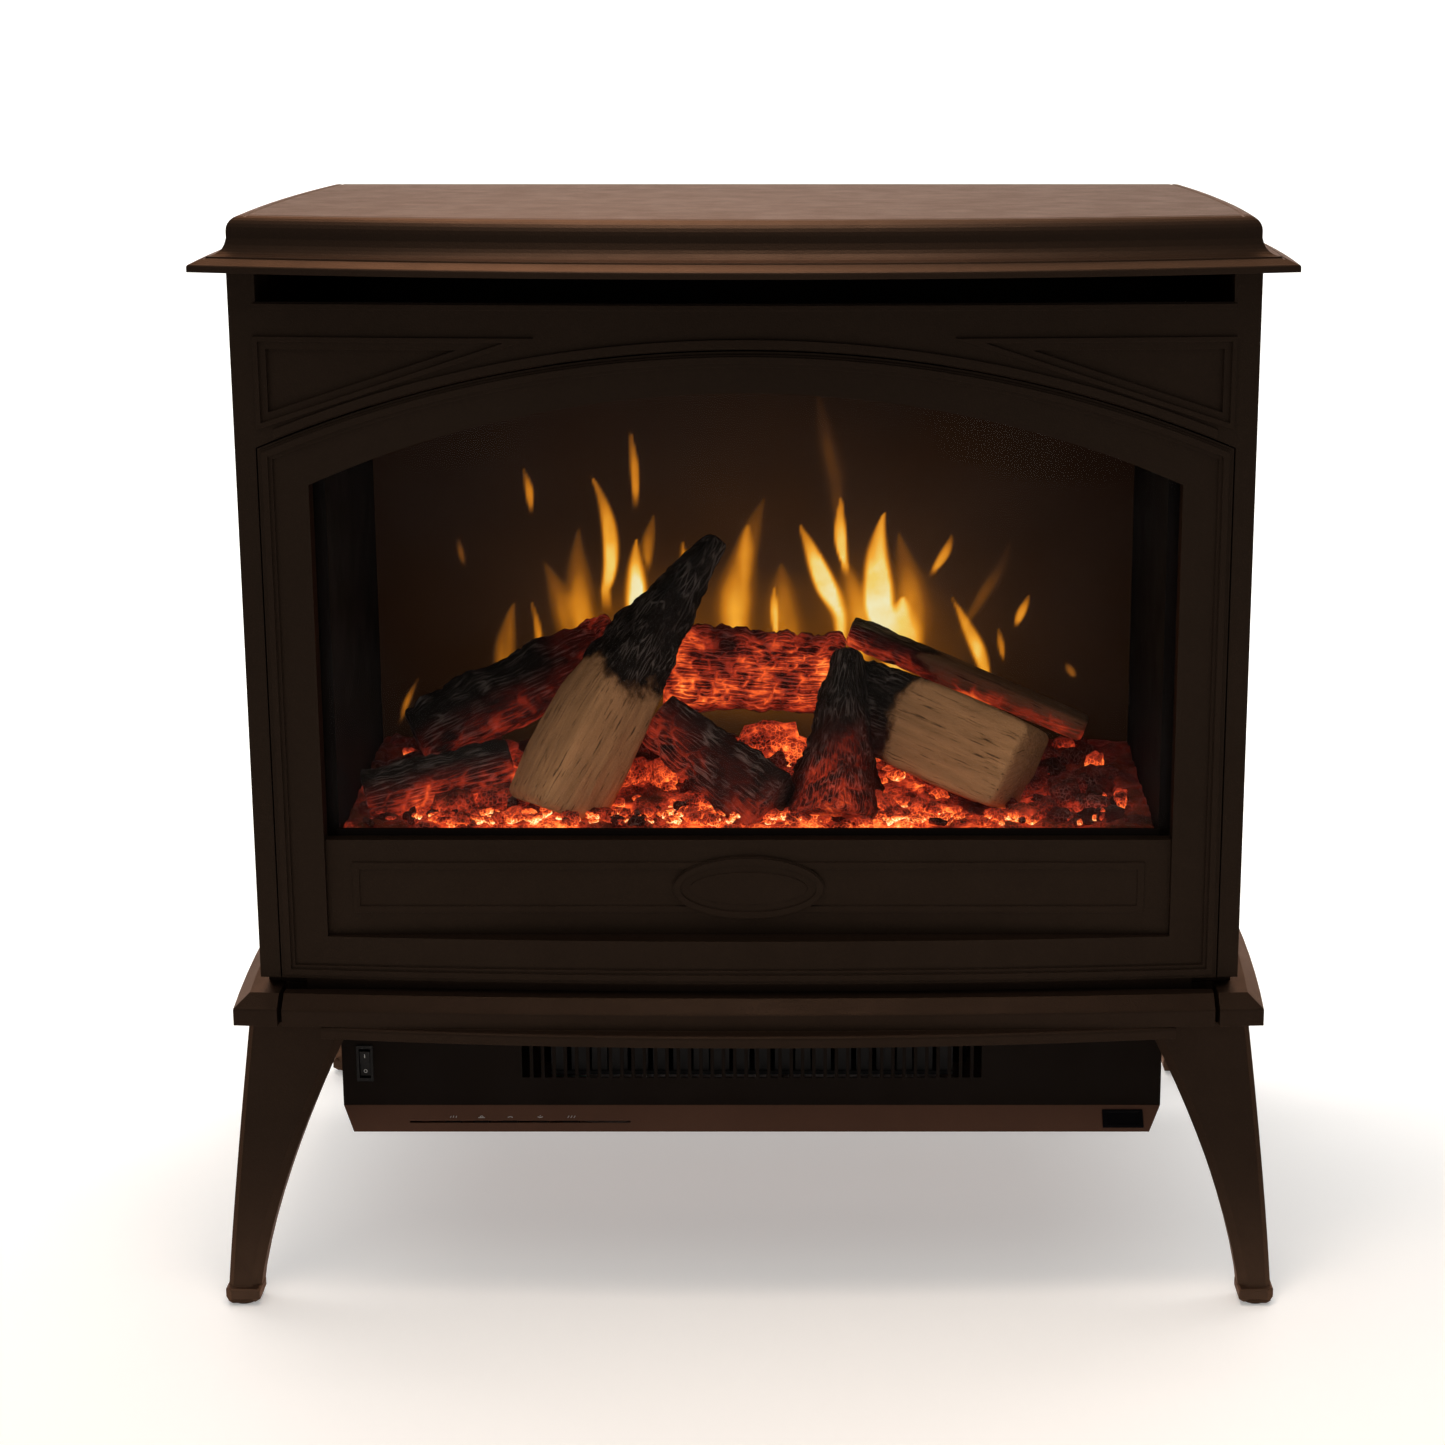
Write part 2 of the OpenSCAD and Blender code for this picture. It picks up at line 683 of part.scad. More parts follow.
module inlet_panel() color("#1d1816") difference() {
    upright_sheet(heater_back - sheet_t);
    for (i = [-12:12]) translate([i * 12 - 3, heater_back - 5, 135]) cube([6, 10, 50]);
    translate([inlet_x, heater_back - 5, inlet_z]) rotate([-90, 0, 0])
        cylinder(d = 13, h = 10, $fn = round_fn);
}

slope = heater_z0 - tray_z0;
slope_end = 10;

// Local frame on the sloping control ledge: z points out of it, y runs up it
module on_ledge() translate([0, heater_front - slope / 2, tray_z0 + slope / 2]) rotate([45, 0, 0])
    children();

module tray_solid(g) intersection() {
    sideways(-heater_half, heater_half) polygon([[heater_front + g * 2.41, heater_z0 + g],
        [heater_front - slope + g * 2.41, tray_z0 + g], [heater_back - g, tray_z0 + g],
        [heater_back - g, heater_z0 + g]]);
    facing(-200, 200) polygon([[-heater_half + g, heater_z0 + g],
        [-heater_half + slope_end + g, tray_z0 + g], [heater_half - slope_end - g, tray_z0 + g],
        [heater_half - g, heater_z0 + g]]);
}

key_x = [-234, -212, -189.5, -166, -141.5];
slot_y = -2.7;
window_x = 291;

module control_tray() color("#5a4037") difference() {
    tray_solid(0);
    tray_solid(sheet_t);
    on_ledge() translate([-268, slot_y - 1, -6]) cube([173, 2, 8]);
    on_ledge() translate([window_x - 16, -8, -6]) cube([32, 15.5, 8]);
    for (x = [-255, 240]) translate([x, heater_front + 12, tray_z0 - 1])
        cylinder(d = 4.2, h = 4, $fn = round_fn);
}

module tray_screws() color("dimgray") for (x = [-255, 240])
    translate([x, heater_front + 12, tray_z0]) {
        translate([0, 0, -2]) cylinder(d = 8, h = 2, $fn = round_fn);
        translate([0, 0, -e]) cylinder(d = 4, h = 6, $fn = round_fn);
    }

module switch_housing() color("#101010") translate([switch_x, heater_front, switch_z]) difference() {
    union() {
        translate([-6.5, -1.2, -14.8]) cube([13, 1.2, 29.6]);
        translate([-5.4, -e, -13.4]) cube([10.8, 24, 26.8]);
    }
    translate([-4.4, -2, -12]) cube([8.8, 16, 24]);
    translate([-8, 5, 0]) rotate([0, 90, 0]) cylinder(r = 1.5 + run_gap, h = 16, $fn = round_fn);
}

// Rocker: a shallow V front on a pin along X, stored tipped to its off side
rocker_tip = 8;
module power_rocker() color("#181818")
    translate([switch_x, heater_front + 5, switch_z]) rotate([rocker_tip, 0, 0]) {
        sideways(-4, 4) polygon([[-5.2, 10.8], [-4.2, 0], [-5.2, -10.8], [-1, -10.6], [3, 0],
                                 [-1, 10.6]]);
        translate([-5.3, 0, 0]) rotate([0, 90, 0]) cylinder(r = 1.5, h = 10.6, $fn = round_fn);
    }

module key(i) color("#202020") on_ledge() translate([key_x[i], slot_y, -0.4]) {
    translate([-5.5, -0.8, -3.2]) cube([11, 1.6, 3.2]);
    translate([-7, -1.4, -3.2]) cube([14, 3.4, 1.2]);
}
module key_1() key(0);
module key_2() key(1);
module key_3() key(2);
module key_4() key(3);
module key_5() key(4);

module receiver_window() color("#0c0c0c") on_ledge() translate([window_x, -0.25, 0]) {
    difference() {
        translate([-15.8, -7.6, -2.6]) cube([31.6, 15.2, 3.2]);
        translate([-12.5, -5.2, -1.2]) cube([25, 10.4, 4]);
    }
    translate([-12.3, -5, -1.2 - e]) cube([24.6, 10, 1]);
}

module control_board() color("darkgreen") translate([-280, -108, tray_z0 + 3]) {
    cube([230, 60, 1.6]);
    translate([20, 12, 1.6 - e]) cube([36, 30, 12]);
    translate([80, 20, 1.6 - e]) cube([14, 14, 3]);
    translate([120, 10, 1.6 - e]) cube([26, 20, 15]);
    for (x = [10, 216], y = [8, 50]) translate([x, y, -1.5]) cylinder(d = 5, h = 1.5 + e, $fn = round_fn);
}

wheel_y = -20;
wheel_z = 168;
wheel_half = 160;
scroll_r = wheel_d / 2 + 5;

module blower_housing() color("#8a8a8a") {
    sideways(-wheel_half - 8, wheel_half + 8) difference() {
        translate([wheel_y, wheel_z]) circle(r = scroll_r + 1.5, $fn = round_fn);
        translate([wheel_y, wheel_z]) circle(r = scroll_r, $fn = round_fn);
        translate([wheel_y, wheel_z - scroll_r - 5]) square([60, scroll_r - 5]);
        translate([wheel_y - 70, wheel_z - 24]) square([70, 24 + 16]);
    }
    translate([-wheel_half - 8, -100, wheel_z - 25.5]) cube([2 * wheel_half + 16, 64, 1.5]);
    translate([-wheel_half - 8, -100, wheel_z + 16]) cube([2 * wheel_half + 16, 55.5, 1.5]);
    for (s = [-1, 1]) translate([s * (wheel_half + 8) - 1 + (s < 0 ? -1 : 1), -100, wheel_z - 25.5])
        difference() {
            cube([2, 110, 72]);
            translate([-1, wheel_y + 100, 25.5]) rotate([0, 90, 0]) cylinder(d = 20, h = 6, $fn = round_fn);
        }
}

module blower_wheel() color("#c0c0c0") translate([0, wheel_y, wheel_z]) rotate([0, 90, 0]) {
    for (x = [-wheel_half, -1, wheel_half - 2]) translate([0, 0, x])
        cylinder(d = wheel_d, h = 2, $fn = round_fn);
    for (i = [0:19]) rotate([0, 0, i * 18]) translate([wheel_d / 2 - 7, -0.5, -wheel_half])
        cube([6, 1, 2 * wheel_half]);
    translate([0, 0, -wheel_half - 20]) cylinder(d = shaft_d, h = 2 * wheel_half + 42, $fn = round_fn);
}

module blower_bearing() color("black") translate([-wheel_half - 22, wheel_y, wheel_z])
    rotate([0, 90, 0]) difference() {
        union() {
            cylinder(d = 18, h = 9, $fn = round_fn);
            translate([-46.5, -7, 0]) cube([46.5, 14, 9]);
        }
        translate([0, 0, -1]) cylinder(r = shaft_d / 2 + run_gap, h = 12, $fn = round_fn);
    }

module blower_motor() color("dimgray") translate([wheel_half + 14, wheel_y, wheel_z])
    rotate([0, 90, 0]) difference() {
        union() {
            cylinder(d = 46, h = 34, $fn = round_fn);
            translate([-46.5, -16, 4]) cube([30, 32, 24]);
        }
        translate([0, 0, -1]) cylinder(r = shaft_d / 2 + run_gap, h = 12, $fn = round_fn);
    }

module heating_element() color("#b8a88a") translate([-158, -126, wheel_z - 25.5]) {
    for (z = [0, 40]) translate([0, 0, z]) cube([316, 26, 3]);
    for (i = [0:19]) translate([i * 16, 2, 3 - e]) cube([12, 12, 37 + 2 * e]);
}

module thermal_cutout() color("#d8c890") translate([-120, -80, wheel_z + 17.5])
    cylinder(d = 15, h = 9, $fn = round_fn);

module cord_inlet() color("black") translate([inlet_x, heater_back, inlet_z]) rotate([-90, 0, 0])
    difference() {
        union() {
            cylinder(d = 18, h = 10, $fn = round_fn);
            translate([0, 0, -8]) cylinder(d = 12.9, h = 8 + e, $fn = round_fn);
        }
        translate([0, 0, -9]) cylinder(d = 8, h = 20, $fn = round_fn);
    }

// ---- the nodes ----

top_plate();
front_surround();
side_panel_left();
side_panel_right();
back_panel();
base_plate();
leg_front_left();
leg_front_right();
leg_back_left();
leg_back_right();
foot_glides();
leg_bolts();
front_frame();
front_apron();
inset_panel();
locating_pegs();
peg_sockets();
glass_pane();
glass_retainers();
firebox_shell();
flame_screen();
screen_clips();
ember_bed();
log_leaning();
log_split();
log_thin();
log_upright();
log_left();
log_back();
log_centre();
log_low();
ember_lights();
flame_mask();
flame_lights();
flicker_spindle();
flicker_motor();
spindle_bearing();
heater_case();
outlet_panel();
inlet_panel();
control_tray();
switch_housing();
power_rocker();
key_1();
key_2();
key_3();
key_4();
key_5();
receiver_window();
control_board();
blower_housing();
blower_wheel();
blower_motor();
blower_bearing();
heating_element();
thermal_cutout();
cord_inlet();
tray_screws();
back_screws();
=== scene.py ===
import json
import math
import random

import bmesh
import bpy
from mathutils import Matrix, Vector, noise
from mathutils.bvhtree import BVHTree


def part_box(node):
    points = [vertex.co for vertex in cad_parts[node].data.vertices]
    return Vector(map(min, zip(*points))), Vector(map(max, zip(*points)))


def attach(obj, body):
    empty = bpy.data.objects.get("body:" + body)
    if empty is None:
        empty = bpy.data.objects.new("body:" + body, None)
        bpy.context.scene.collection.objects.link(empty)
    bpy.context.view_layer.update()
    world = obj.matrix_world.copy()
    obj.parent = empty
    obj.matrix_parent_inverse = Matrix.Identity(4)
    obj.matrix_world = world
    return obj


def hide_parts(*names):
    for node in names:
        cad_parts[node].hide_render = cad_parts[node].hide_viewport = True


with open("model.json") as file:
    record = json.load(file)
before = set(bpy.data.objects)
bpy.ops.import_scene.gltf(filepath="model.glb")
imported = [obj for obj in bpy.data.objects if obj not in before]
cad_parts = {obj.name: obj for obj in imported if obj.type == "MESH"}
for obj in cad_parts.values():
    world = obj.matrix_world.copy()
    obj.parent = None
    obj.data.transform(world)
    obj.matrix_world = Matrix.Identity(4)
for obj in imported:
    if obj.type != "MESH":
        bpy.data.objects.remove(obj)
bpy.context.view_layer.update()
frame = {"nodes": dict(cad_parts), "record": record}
NODES = frame["nodes"]
SLOT_OF = {s["node"]: s["material_slot"] for s in frame["record"]["subparts"]}
MM = 0.001
random.seed(7)

# ---------------------------------------------------------------- camera, floor and light

CAMERA_AT = (0.055, -2.231, 0.946)
CAMERA_PITCH = 13.83        # degrees down
CAMERA_LENS = 70.75         # millimetres, on a 36 mm sensor
CAMERA_SHIFT = -0.0688      # share of the picture's width


def make_camera():
    data = bpy.data.cameras.new("camera")
    data.lens = CAMERA_LENS
    data.sensor_width = 36
    data.shift_x = CAMERA_SHIFT
    camera = bpy.data.objects.new("camera", data)
    camera.location = CAMERA_AT
    camera.rotation_euler = (math.radians(90 - CAMERA_PITCH), 0, 0)
    bpy.context.scene.collection.objects.link(camera)
    bpy.context.scene.camera = camera


def add_object(name, mesh):
    obj = bpy.data.objects.new(name, mesh)
    bpy.context.scene.collection.objects.link(obj)
    return obj


def make_floor():
    """A pale floor that curves up behind the stove. It glows a little, so that it stays white."""
    half, front, turn, radius, top = 7.0, -7.0, 3.2, 1.6, 3.4
    steps = 16
    line = [(front, 0.0), (turn, 0.0)]
    for i in range(1, steps + 1):
        a = math.radians(90 * i / steps)
        line.append((turn + radius * math.sin(a), radius * (1 - math.cos(a))))
    line.append((turn + radius, top))
    verts = [(x, y, z) for y, z in line for x in (-half, half)]
    faces = [(2 * i, 2 * i + 1, 2 * i + 3, 2 * i + 2) for i in range(len(line) - 1)]
    mesh = bpy.data.meshes.new("floor")
    mesh.from_pydata(verts, [], faces)
    mesh.shade_smooth()
    floor = add_object("floor", mesh)
    paint = Paint("pale_floor", (0.88, 0.875, 0.87), roughness=0.9, specular=0.1)
    paint.shader.inputs["Emission Color"].default_value = (1, 0.99, 0.98, 1)
    paint.shader.inputs["Emission Strength"].default_value = 0.28
    paint.mottle(0.006, 1.5)
    mesh.materials.append(paint.material)


def area_light(name, at, target, size, power, colour=(1, 1, 1), spread=180):
    data = bpy.data.lights.new(name, "AREA")
    data.shape = "RECTANGLE"
    data.size, data.size_y = size
    data.energy = power
    data.color = colour
    data.spread = math.radians(spread)
    light = bpy.data.objects.new(name, data)
    light.location = at
    light.rotation_euler = (Vector(target) - Vector(at)).to_track_quat("-Z", "Y").to_euler()
    bpy.context.scene.collection.objects.link(light)


def make_lights():
    """Soft light on the backdrop, over the top plate and from the front, and a lamp on the logs."""
    world = bpy.data.worlds.new("studio")
    world.use_nodes = True
    sky = world.node_tree.nodes["Background"]
    sky.inputs["Color"].default_value = (1, 0.99, 0.97, 1)
    sky.inputs["Strength"].default_value = 0.34
    bpy.context.scene.world = world
    area_light("sweep", (0, 1.6, 3.0), (0, 3.6, 0.4), (5, 1.2), 170, (1, 0.96, 0.92))
    area_light("overhead", (-0.12, -0.07, 1.42), (-0.03, -0.02, 0.8), (1.0, 0.5), 8,
               (1, 0.82, 0.68), 110)
    area_light("key", (-0.6, -1.5, 2.6), (0, -0.3, 0.3), (1.8, 1.0), 11, (1, 0.90, 0.80))
    low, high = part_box("firebox_shell")
    lamp_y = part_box("glass_pane")[1].y + 0.03
    area_light("log_lamp", (0, lamp_y, high.z - 0.006), (0, -0.09, low.z), (0.42, 0.03), 2.6,
               (1, 0.74, 0.48), 88)


# ---------------------------------------------------------------- materials


class Paint:
    """A principled material whose colour and bump are built up from procedural layers."""

    def __init__(self, name, colour, roughness=0.5, metallic=0.0, specular=0.5):
        self.material = bpy.data.materials.new(name)
        self.material.use_nodes = True
        self.tree = self.material.node_tree
        self.shader = self.tree.nodes["Principled BSDF"]
        self.shader.inputs["Base Color"].default_value = (*colour, 1)
        self.shader.inputs["Roughness"].default_value = roughness
        self.shader.inputs["Metallic"].default_value = metallic
        self.shader.inputs["Specular IOR Level"].default_value = specular
        self.colour = None
        self.flat = colour
        self.normal = None
        self.coords = self.node("ShaderNodeTexCoord").outputs["Object"]

    def node(self, kind, **settings):
        node = self.tree.nodes.new(kind)
        for key, value in settings.items():
            setattr(node, key, value)
        return node

    def link(self, source, target):
        self.tree.links.new(source, target)

    def stretched(self, scale):
        mapping = self.node("ShaderNodeMapping")
        mapping.inputs["Scale"].default_value = scale
        self.link(self.coords, mapping.inputs["Vector"])
        return mapping.outputs["Vector"]

    def noise(self, scale, detail=4, roughness=0.55, coords=None):
        node = self.node("ShaderNodeTexNoise")
        node.inputs["Scale"].default_value = scale
        node.inputs["Detail"].default_value = detail
        node.inputs["Roughness"].default_value = roughness
        self.link(coords or self.coords, node.inputs["Vector"])
        return node.outputs["Fac"]

    def cells(self, scale, coords):
        """Distance from the nearest wall of a pattern of cells."""
        node = self.node("ShaderNodeTexVoronoi", feature="DISTANCE_TO_EDGE")
        node.inputs["Scale"].default_value = scale
        self.link(coords, node.inputs["Vector"])
        return node.outputs["Distance"]

    def bent(self, coords):
        """The same coordinates, pushed about by a slow noise."""
        wave = self.node("ShaderNodeTexNoise")
        wave.inputs["Scale"].default_value = 90
        self.link(coords, wave.inputs["Vector"])
        add = self.node("ShaderNodeVectorMath", operation="MULTIPLY_ADD")
        self.link(wave.outputs["Color"], add.inputs[0])
        add.inputs[1].default_value = (0.006, 0.006, 0.006)
        self.link(coords, add.inputs[2])
        return add.outputs["Vector"]

    def stored(self, name, output="Fac"):
        """A value that the mesh carries at its points."""
        return self.node("ShaderNodeAttribute", attribute_name=name).outputs[output]

    def ramp(self, factor, *stops):
        node = self.node("ShaderNodeValToRGB")
        band = node.color_ramp
        while len(band.elements) < len(stops):
            band.elements.new(1)
        for element, (place, colour) in zip(band.elements, stops):
            element.position = place
            element.color = (*colour, 1)
        self.link(factor, node.inputs["Fac"])
        return node.outputs["Color"]

    def grey(self, factor, low, high, dark=0.0, light=1.0):
        """Maps factor from low..high to dark..light, clamped."""
        node = self.node("ShaderNodeMapRange")
        for name, value in (("From Min", low), ("From Max", high), ("To Min", dark),
                            ("To Max", light)):
            node.inputs[name].default_value = value
        self.link(factor, node.inputs["Value"])
        return node.outputs["Result"]

    def math(self, operation, a, b=None):
        node = self.node("ShaderNodeMath", operation=operation)
        for socket, value in zip(node.inputs, (a, b)):
            if isinstance(value, (int, float)):
                socket.default_value = value
            elif value is not None:
                self.link(value, socket)
        return node.outputs["Value"]

    def lay(self, factor, colour):
        """Lays another colour over what is there so far, by factor."""
        node = self.node("ShaderNodeMix", data_type="RGBA")
        below, above = [s for s in node.inputs if s.type == "RGBA"]
        self.link(factor, node.inputs["Factor"])
        if self.colour is None:
            below.default_value = (*self.flat, 1)
        else:
            self.link(self.colour, below)
        above.default_value = (*colour, 1)
        self.colour = next(s for s in node.outputs if s.type == "RGBA")
        self.link(self.colour, self.shader.inputs["Base Color"])

    def mottle(self, amount, scale):
        """Slow cloudy change of the colour."""
        darker = tuple(c * (1 - 4 * amount) for c in self.flat)
        self.lay(self.grey(self.noise(scale, 5), 0.35, 0.7), darker)

    def bump(self, height, strength, distance):
        """Adds relief in the shading, over the relief laid before it."""
        node = self.node("ShaderNodeBump")
        node.inputs["Strength"].default_value = strength
        node.inputs["Distance"].default_value = distance
        self.link(height, node.inputs["Height"])
        if self.normal is not None:
            self.link(self.normal, node.inputs["Normal"])
        self.normal = node.outputs["Normal"]
        self.link(self.normal, self.shader.inputs["Normal"])

    def rough(self, low, high, scale):
        """Lets the roughness drift between low and high."""
        self.link(self.grey(self.noise(scale, 3), 0.3, 0.7, low, high),
                  self.shader.inputs["Roughness"])

    def soft_edges(self, radius, wear, amount):
        """Rounds the sharp edges in the shading and rubs the paint a little along them."""
        bevel = self.node("ShaderNodeBevel", samples=4)
        bevel.inputs["Radius"].default_value = radius
        flat = self.node("ShaderNodeNewGeometry").outputs["Normal"]
        dot = self.node("ShaderNodeVectorMath", operation="DOT_PRODUCT")
        self.link(bevel.outputs["Normal"], dot.inputs[0])
        self.link(flat, dot.inputs[1])
        turned = self.grey(dot.outputs["Value"], 0.97, 0.8, 0, amount)
        patchy = self.math("MULTIPLY", turned, self.grey(self.noise(90, 4), 0.35, 0.65))
        self.lay(patchy, wear)
        self.normal = bevel.outputs["Normal"]


def cast_paint(name, colour, wear, roughness):
    """Matt metallic stove paint over a sandy casting, with painted light making it paler towards the
    floor.
    """
    p = Paint(name, colour, roughness=roughness, metallic=0.6, specular=0.06)
    p.shader.inputs["Specular Tint"].default_value = (1.0, 0.62, 0.46, 1)
    p.soft_edges(0.0007, wear, 0.55)
    darker = tuple(c * 0.8 for c in colour)
    lighter = tuple(min(1, c * 1.5) for c in colour)
    p.lay(p.grey(p.noise(5, 4), 0.35, 0.7, 0, 0.7), darker)
    p.lay(p.grey(p.noise(1500, 3), 0.52, 0.72, 0, 0.75), lighter)
    p.lay(p.grey(p.noise(420, 3), 0.58, 0.75, 0, 0.5), darker)
    split = p.node("ShaderNodeSeparateXYZ")
    p.link(p.coords, split.inputs["Vector"])
    # Painted light: below 0.15 m the paint turns up to about three times paler, for the light on the
    # feet and lower legs.
    low = p.grey(split.outputs["Z"], 0.15, 0.0, 0, 1)
    uneven = p.grey(p.noise(60, 5), 0.3, 0.7, 0.8, 1.0)
    p.lay(p.math("MULTIPLY", p.math("MULTIPLY", low, low), uneven),
          tuple(c * k for c, k in zip(colour, (3.4, 3.1, 2.9))))
    p.rough(roughness - 0.03, roughness + 0.04, 40)
    p.bump(p.noise(800, 4), 0.5, 0.0005)
    p.bump(p.noise(120, 3), 0.06, 0.0010)
    return p.material


def sheet_paint(name, colour, roughness, grain=1500, strength=0.16):
    """Powder coat with a fine orange peel."""
    p = Paint(name, colour, roughness=roughness, specular=0.05)
    p.soft_edges(0.0006, tuple(c * 1.7 for c in colour), 0.4)
    p.mottle(0.05, 7)
    p.lay(p.grey(p.noise(1400, 2), 0.62, 0.75, 0, 0.35), tuple(c * 1.6 for c in colour))
    p.rough(roughness - 0.05, roughness + 0.08, 30)
    p.bump(p.noise(grain, 2), strength, 0.0003)
    return p.material


def bare_metal(name, colour, roughness):
    """Plated or mill-finish metal with faint streaks."""
    p = Paint(name, colour, roughness=roughness, metallic=1.0)
    streaks = p.noise(60, 4, coords=p.stretched((1, 14, 14)))
    p.lay(p.grey(streaks, 0.3, 0.7, 0, 0.5), tuple(c * 0.7 for c in colour))
    p.rough(roughness - 0.08, roughness + 0.14, 80)
    p.bump(streaks, 0.08, 0.0002)
    return p.material


def moulded(name, colour, roughness, grain=2200):
    """Moulded plastic, rubber or ceramic with a fine spark-eroded grain."""
    p = Paint(name, colour, roughness=roughness, specular=0.18)
    p.soft_edges(0.0005, tuple(min(1, c * 1.5 + 0.004) for c in colour), 0.5)
    p.mottle(0.05, 20)
    p.rough(roughness - 0.06, roughness + 0.06, 120)
    p.bump(p.noise(grain, 2), 0.15, 0.0002)
    return p.material


def circuit_board(name, colour):
    """Solder mask with paler tracks."""
    p = Paint(name, colour, roughness=0.4)
    tracks = p.cells(160, p.stretched((1, 1, 0.2)))
    p.lay(p.grey(tracks, 0.05, 0.09, 0.9, 0), tuple(c * 2.2 for c in colour))
    p.mottle(0.04, 30)
    p.bump(tracks, 0.1, 0.0002)
    return p.material


def clear_glass(name):
    """Thin clear pane: what is behind shows through, under a faint reflection."""
    material = bpy.data.materials.new(name)
    material.use_nodes = True
    tree = material.node_tree
    tree.nodes.remove(tree.nodes["Principled BSDF"])
    out = tree.nodes["Material Output"]
    through = tree.nodes.new("ShaderNodeBsdfTransparent")
    through.inputs["Color"].default_value = (0.94, 0.93, 0.92, 1)
    gloss = tree.nodes.new("ShaderNodeBsdfGlossy")
    gloss.inputs["Roughness"].default_value = 0.04
    coords = tree.nodes.new("ShaderNodeTexCoord")
    smear = tree.nodes.new("ShaderNodeTexNoise")
    smear.inputs["Scale"].default_value = 9
    amount = tree.nodes.new("ShaderNodeMapRange")
    amount.inputs["From Min"].default_value = 0.3
    amount.inputs["From Max"].default_value = 0.7
    amount.inputs["To Min"].default_value = 0.001
    amount.inputs["To Max"].default_value = 0.004
    both = tree.nodes.new("ShaderNodeMixShader")
    tree.links.new(coords.outputs["Object"], smear.inputs["Vector"])
    tree.links.new(smear.outputs["Fac"], amount.inputs["Value"])
    tree.links.new(amount.outputs["Result"], both.inputs["Fac"])
    tree.links.new(through.outputs["BSDF"], both.inputs[1])
    tree.links.new(gloss.outputs["BSDF"], both.inputs[2])
    tree.links.new(both.outputs["Shader"], out.inputs["Surface"])
    return material


def flame_picture_material():
    """Smoked screen with the flame picture, whose brightness is stored on the mesh."""
    p = Paint("flame_picture", (0.006, 0.003, 0.0018), roughness=0.35, specular=0.05)
    flame = p.stored("picture")
    cloud = p.grey(p.noise(14, 5), 0.3, 0.75, 0.75, 1.1)
    light = p.math("MULTIPLY", flame, cloud)
    colour = p.ramp(light, (0.0, (0.0035, 0.0012, 0.0005)), (0.12, (0.038, 0.014, 0.0040)),
                    (0.30, (0.22, 0.070, 0.005)), (0.50, (0.66, 0.225, 0.010)),
                    (0.70, (1.0, 0.44, 0.035)), (0.86, (1.0, 0.72, 0.17)),
                    (1.0, (1.0, 0.95, 0.60)))
    p.link(colour, p.shader.inputs["Emission Color"])
    p.shader.inputs["Emission Strength"].default_value = 1.0
    p.mottle(0.06, 12)
    p.bump(p.noise(600, 2), 0.04, 0.0002)
    return p.material


def burnt_wood(name, pale, red, strength=1.0, grained=True):
    """Log paint by stored masks: pale split wood, scorched and charred bark, glowing cracks."""
    p = Paint(name, pale, roughness=0.8, specular=0.12)
    char = p.stored("char")
    glow = p.stored("glow")
    cell = p.stored("crack")
    along = p.stored("fibre", "Vector") if grained else p.coords
    p.lay(p.grey(p.noise(210, 6, 0.6, along), 0.38, 0.68, 0, 0.75), tuple(c * 0.52 for c in pale))
    p.lay(p.grey(p.noise(45, 5), 0.35, 0.75, 0, 0.5), tuple(c * 0.66 for c in pale))
    lines = p.noise(520, 5, 0.65, along)
    p.lay(p.grey(lines, 0.57, 0.66, 0, 0.85), (0.045, 0.022, 0.012))
    ragged = p.math("ADD", char, p.grey(p.noise(150, 6), 0.25, 0.75, -0.20, 0.20))
    p.lay(p.grey(ragged, 0.10, 0.46, 0, 0.85), (0.085, 0.036, 0.016))
    p.lay(p.grey(ragged, 0.30, 0.62), (0.0125, 0.0085, 0.0065))
    fine = p.cells(300, p.bent(along))
    patch = p.grey(p.noise(55, 5), 0.44, 0.62)
    ash = p.math("MULTIPLY", p.math("MULTIPLY", p.grey(fine, 0.0, 0.10, 1, 0), patch),
                 p.grey(char, 0.5, 0.8))
    p.lay(p.math("MULTIPLY", ash, 0.75), (0.20, 0.16, 0.14))
    seam = p.math("MAXIMUM", p.grey(cell, 0.0, 0.14, 1.0, 0.0), p.grey(fine, 0.0, 0.12, 0.8, 0))
    warm = p.grey(p.noise(60, 5, 0.6), 0.34, 0.70)
    heat = p.math("MULTIPLY", glow, p.math("ADD", p.math("MULTIPLY", warm, 0.72),
                                           p.math("MULTIPLY", seam, 0.50)))
    colour = p.ramp(heat, (0.0, (0, 0, 0)), (0.14, (0.035, 0.003, 0.002)),
                    (0.36, (0.26, 0.020, 0.008)), (0.58, (0.78, 0.105, 0.020)),
                    (0.80, (1.0, 0.34, 0.06)), (1.0, (1.0, 0.78, 0.40)))
    p.lay(p.grey(heat, 0.1, 0.5, 0, 0.8), red)
    p.link(colour, p.shader.inputs["Emission Color"])
    p.shader.inputs["Emission Strength"].default_value = strength
    p.rough(0.6, 0.9, 150)
    p.bump(p.noise(380, 6, 0.65), 0.8, 0.0016)
    p.bump(lines, 0.25, 0.0006)
    return p.material


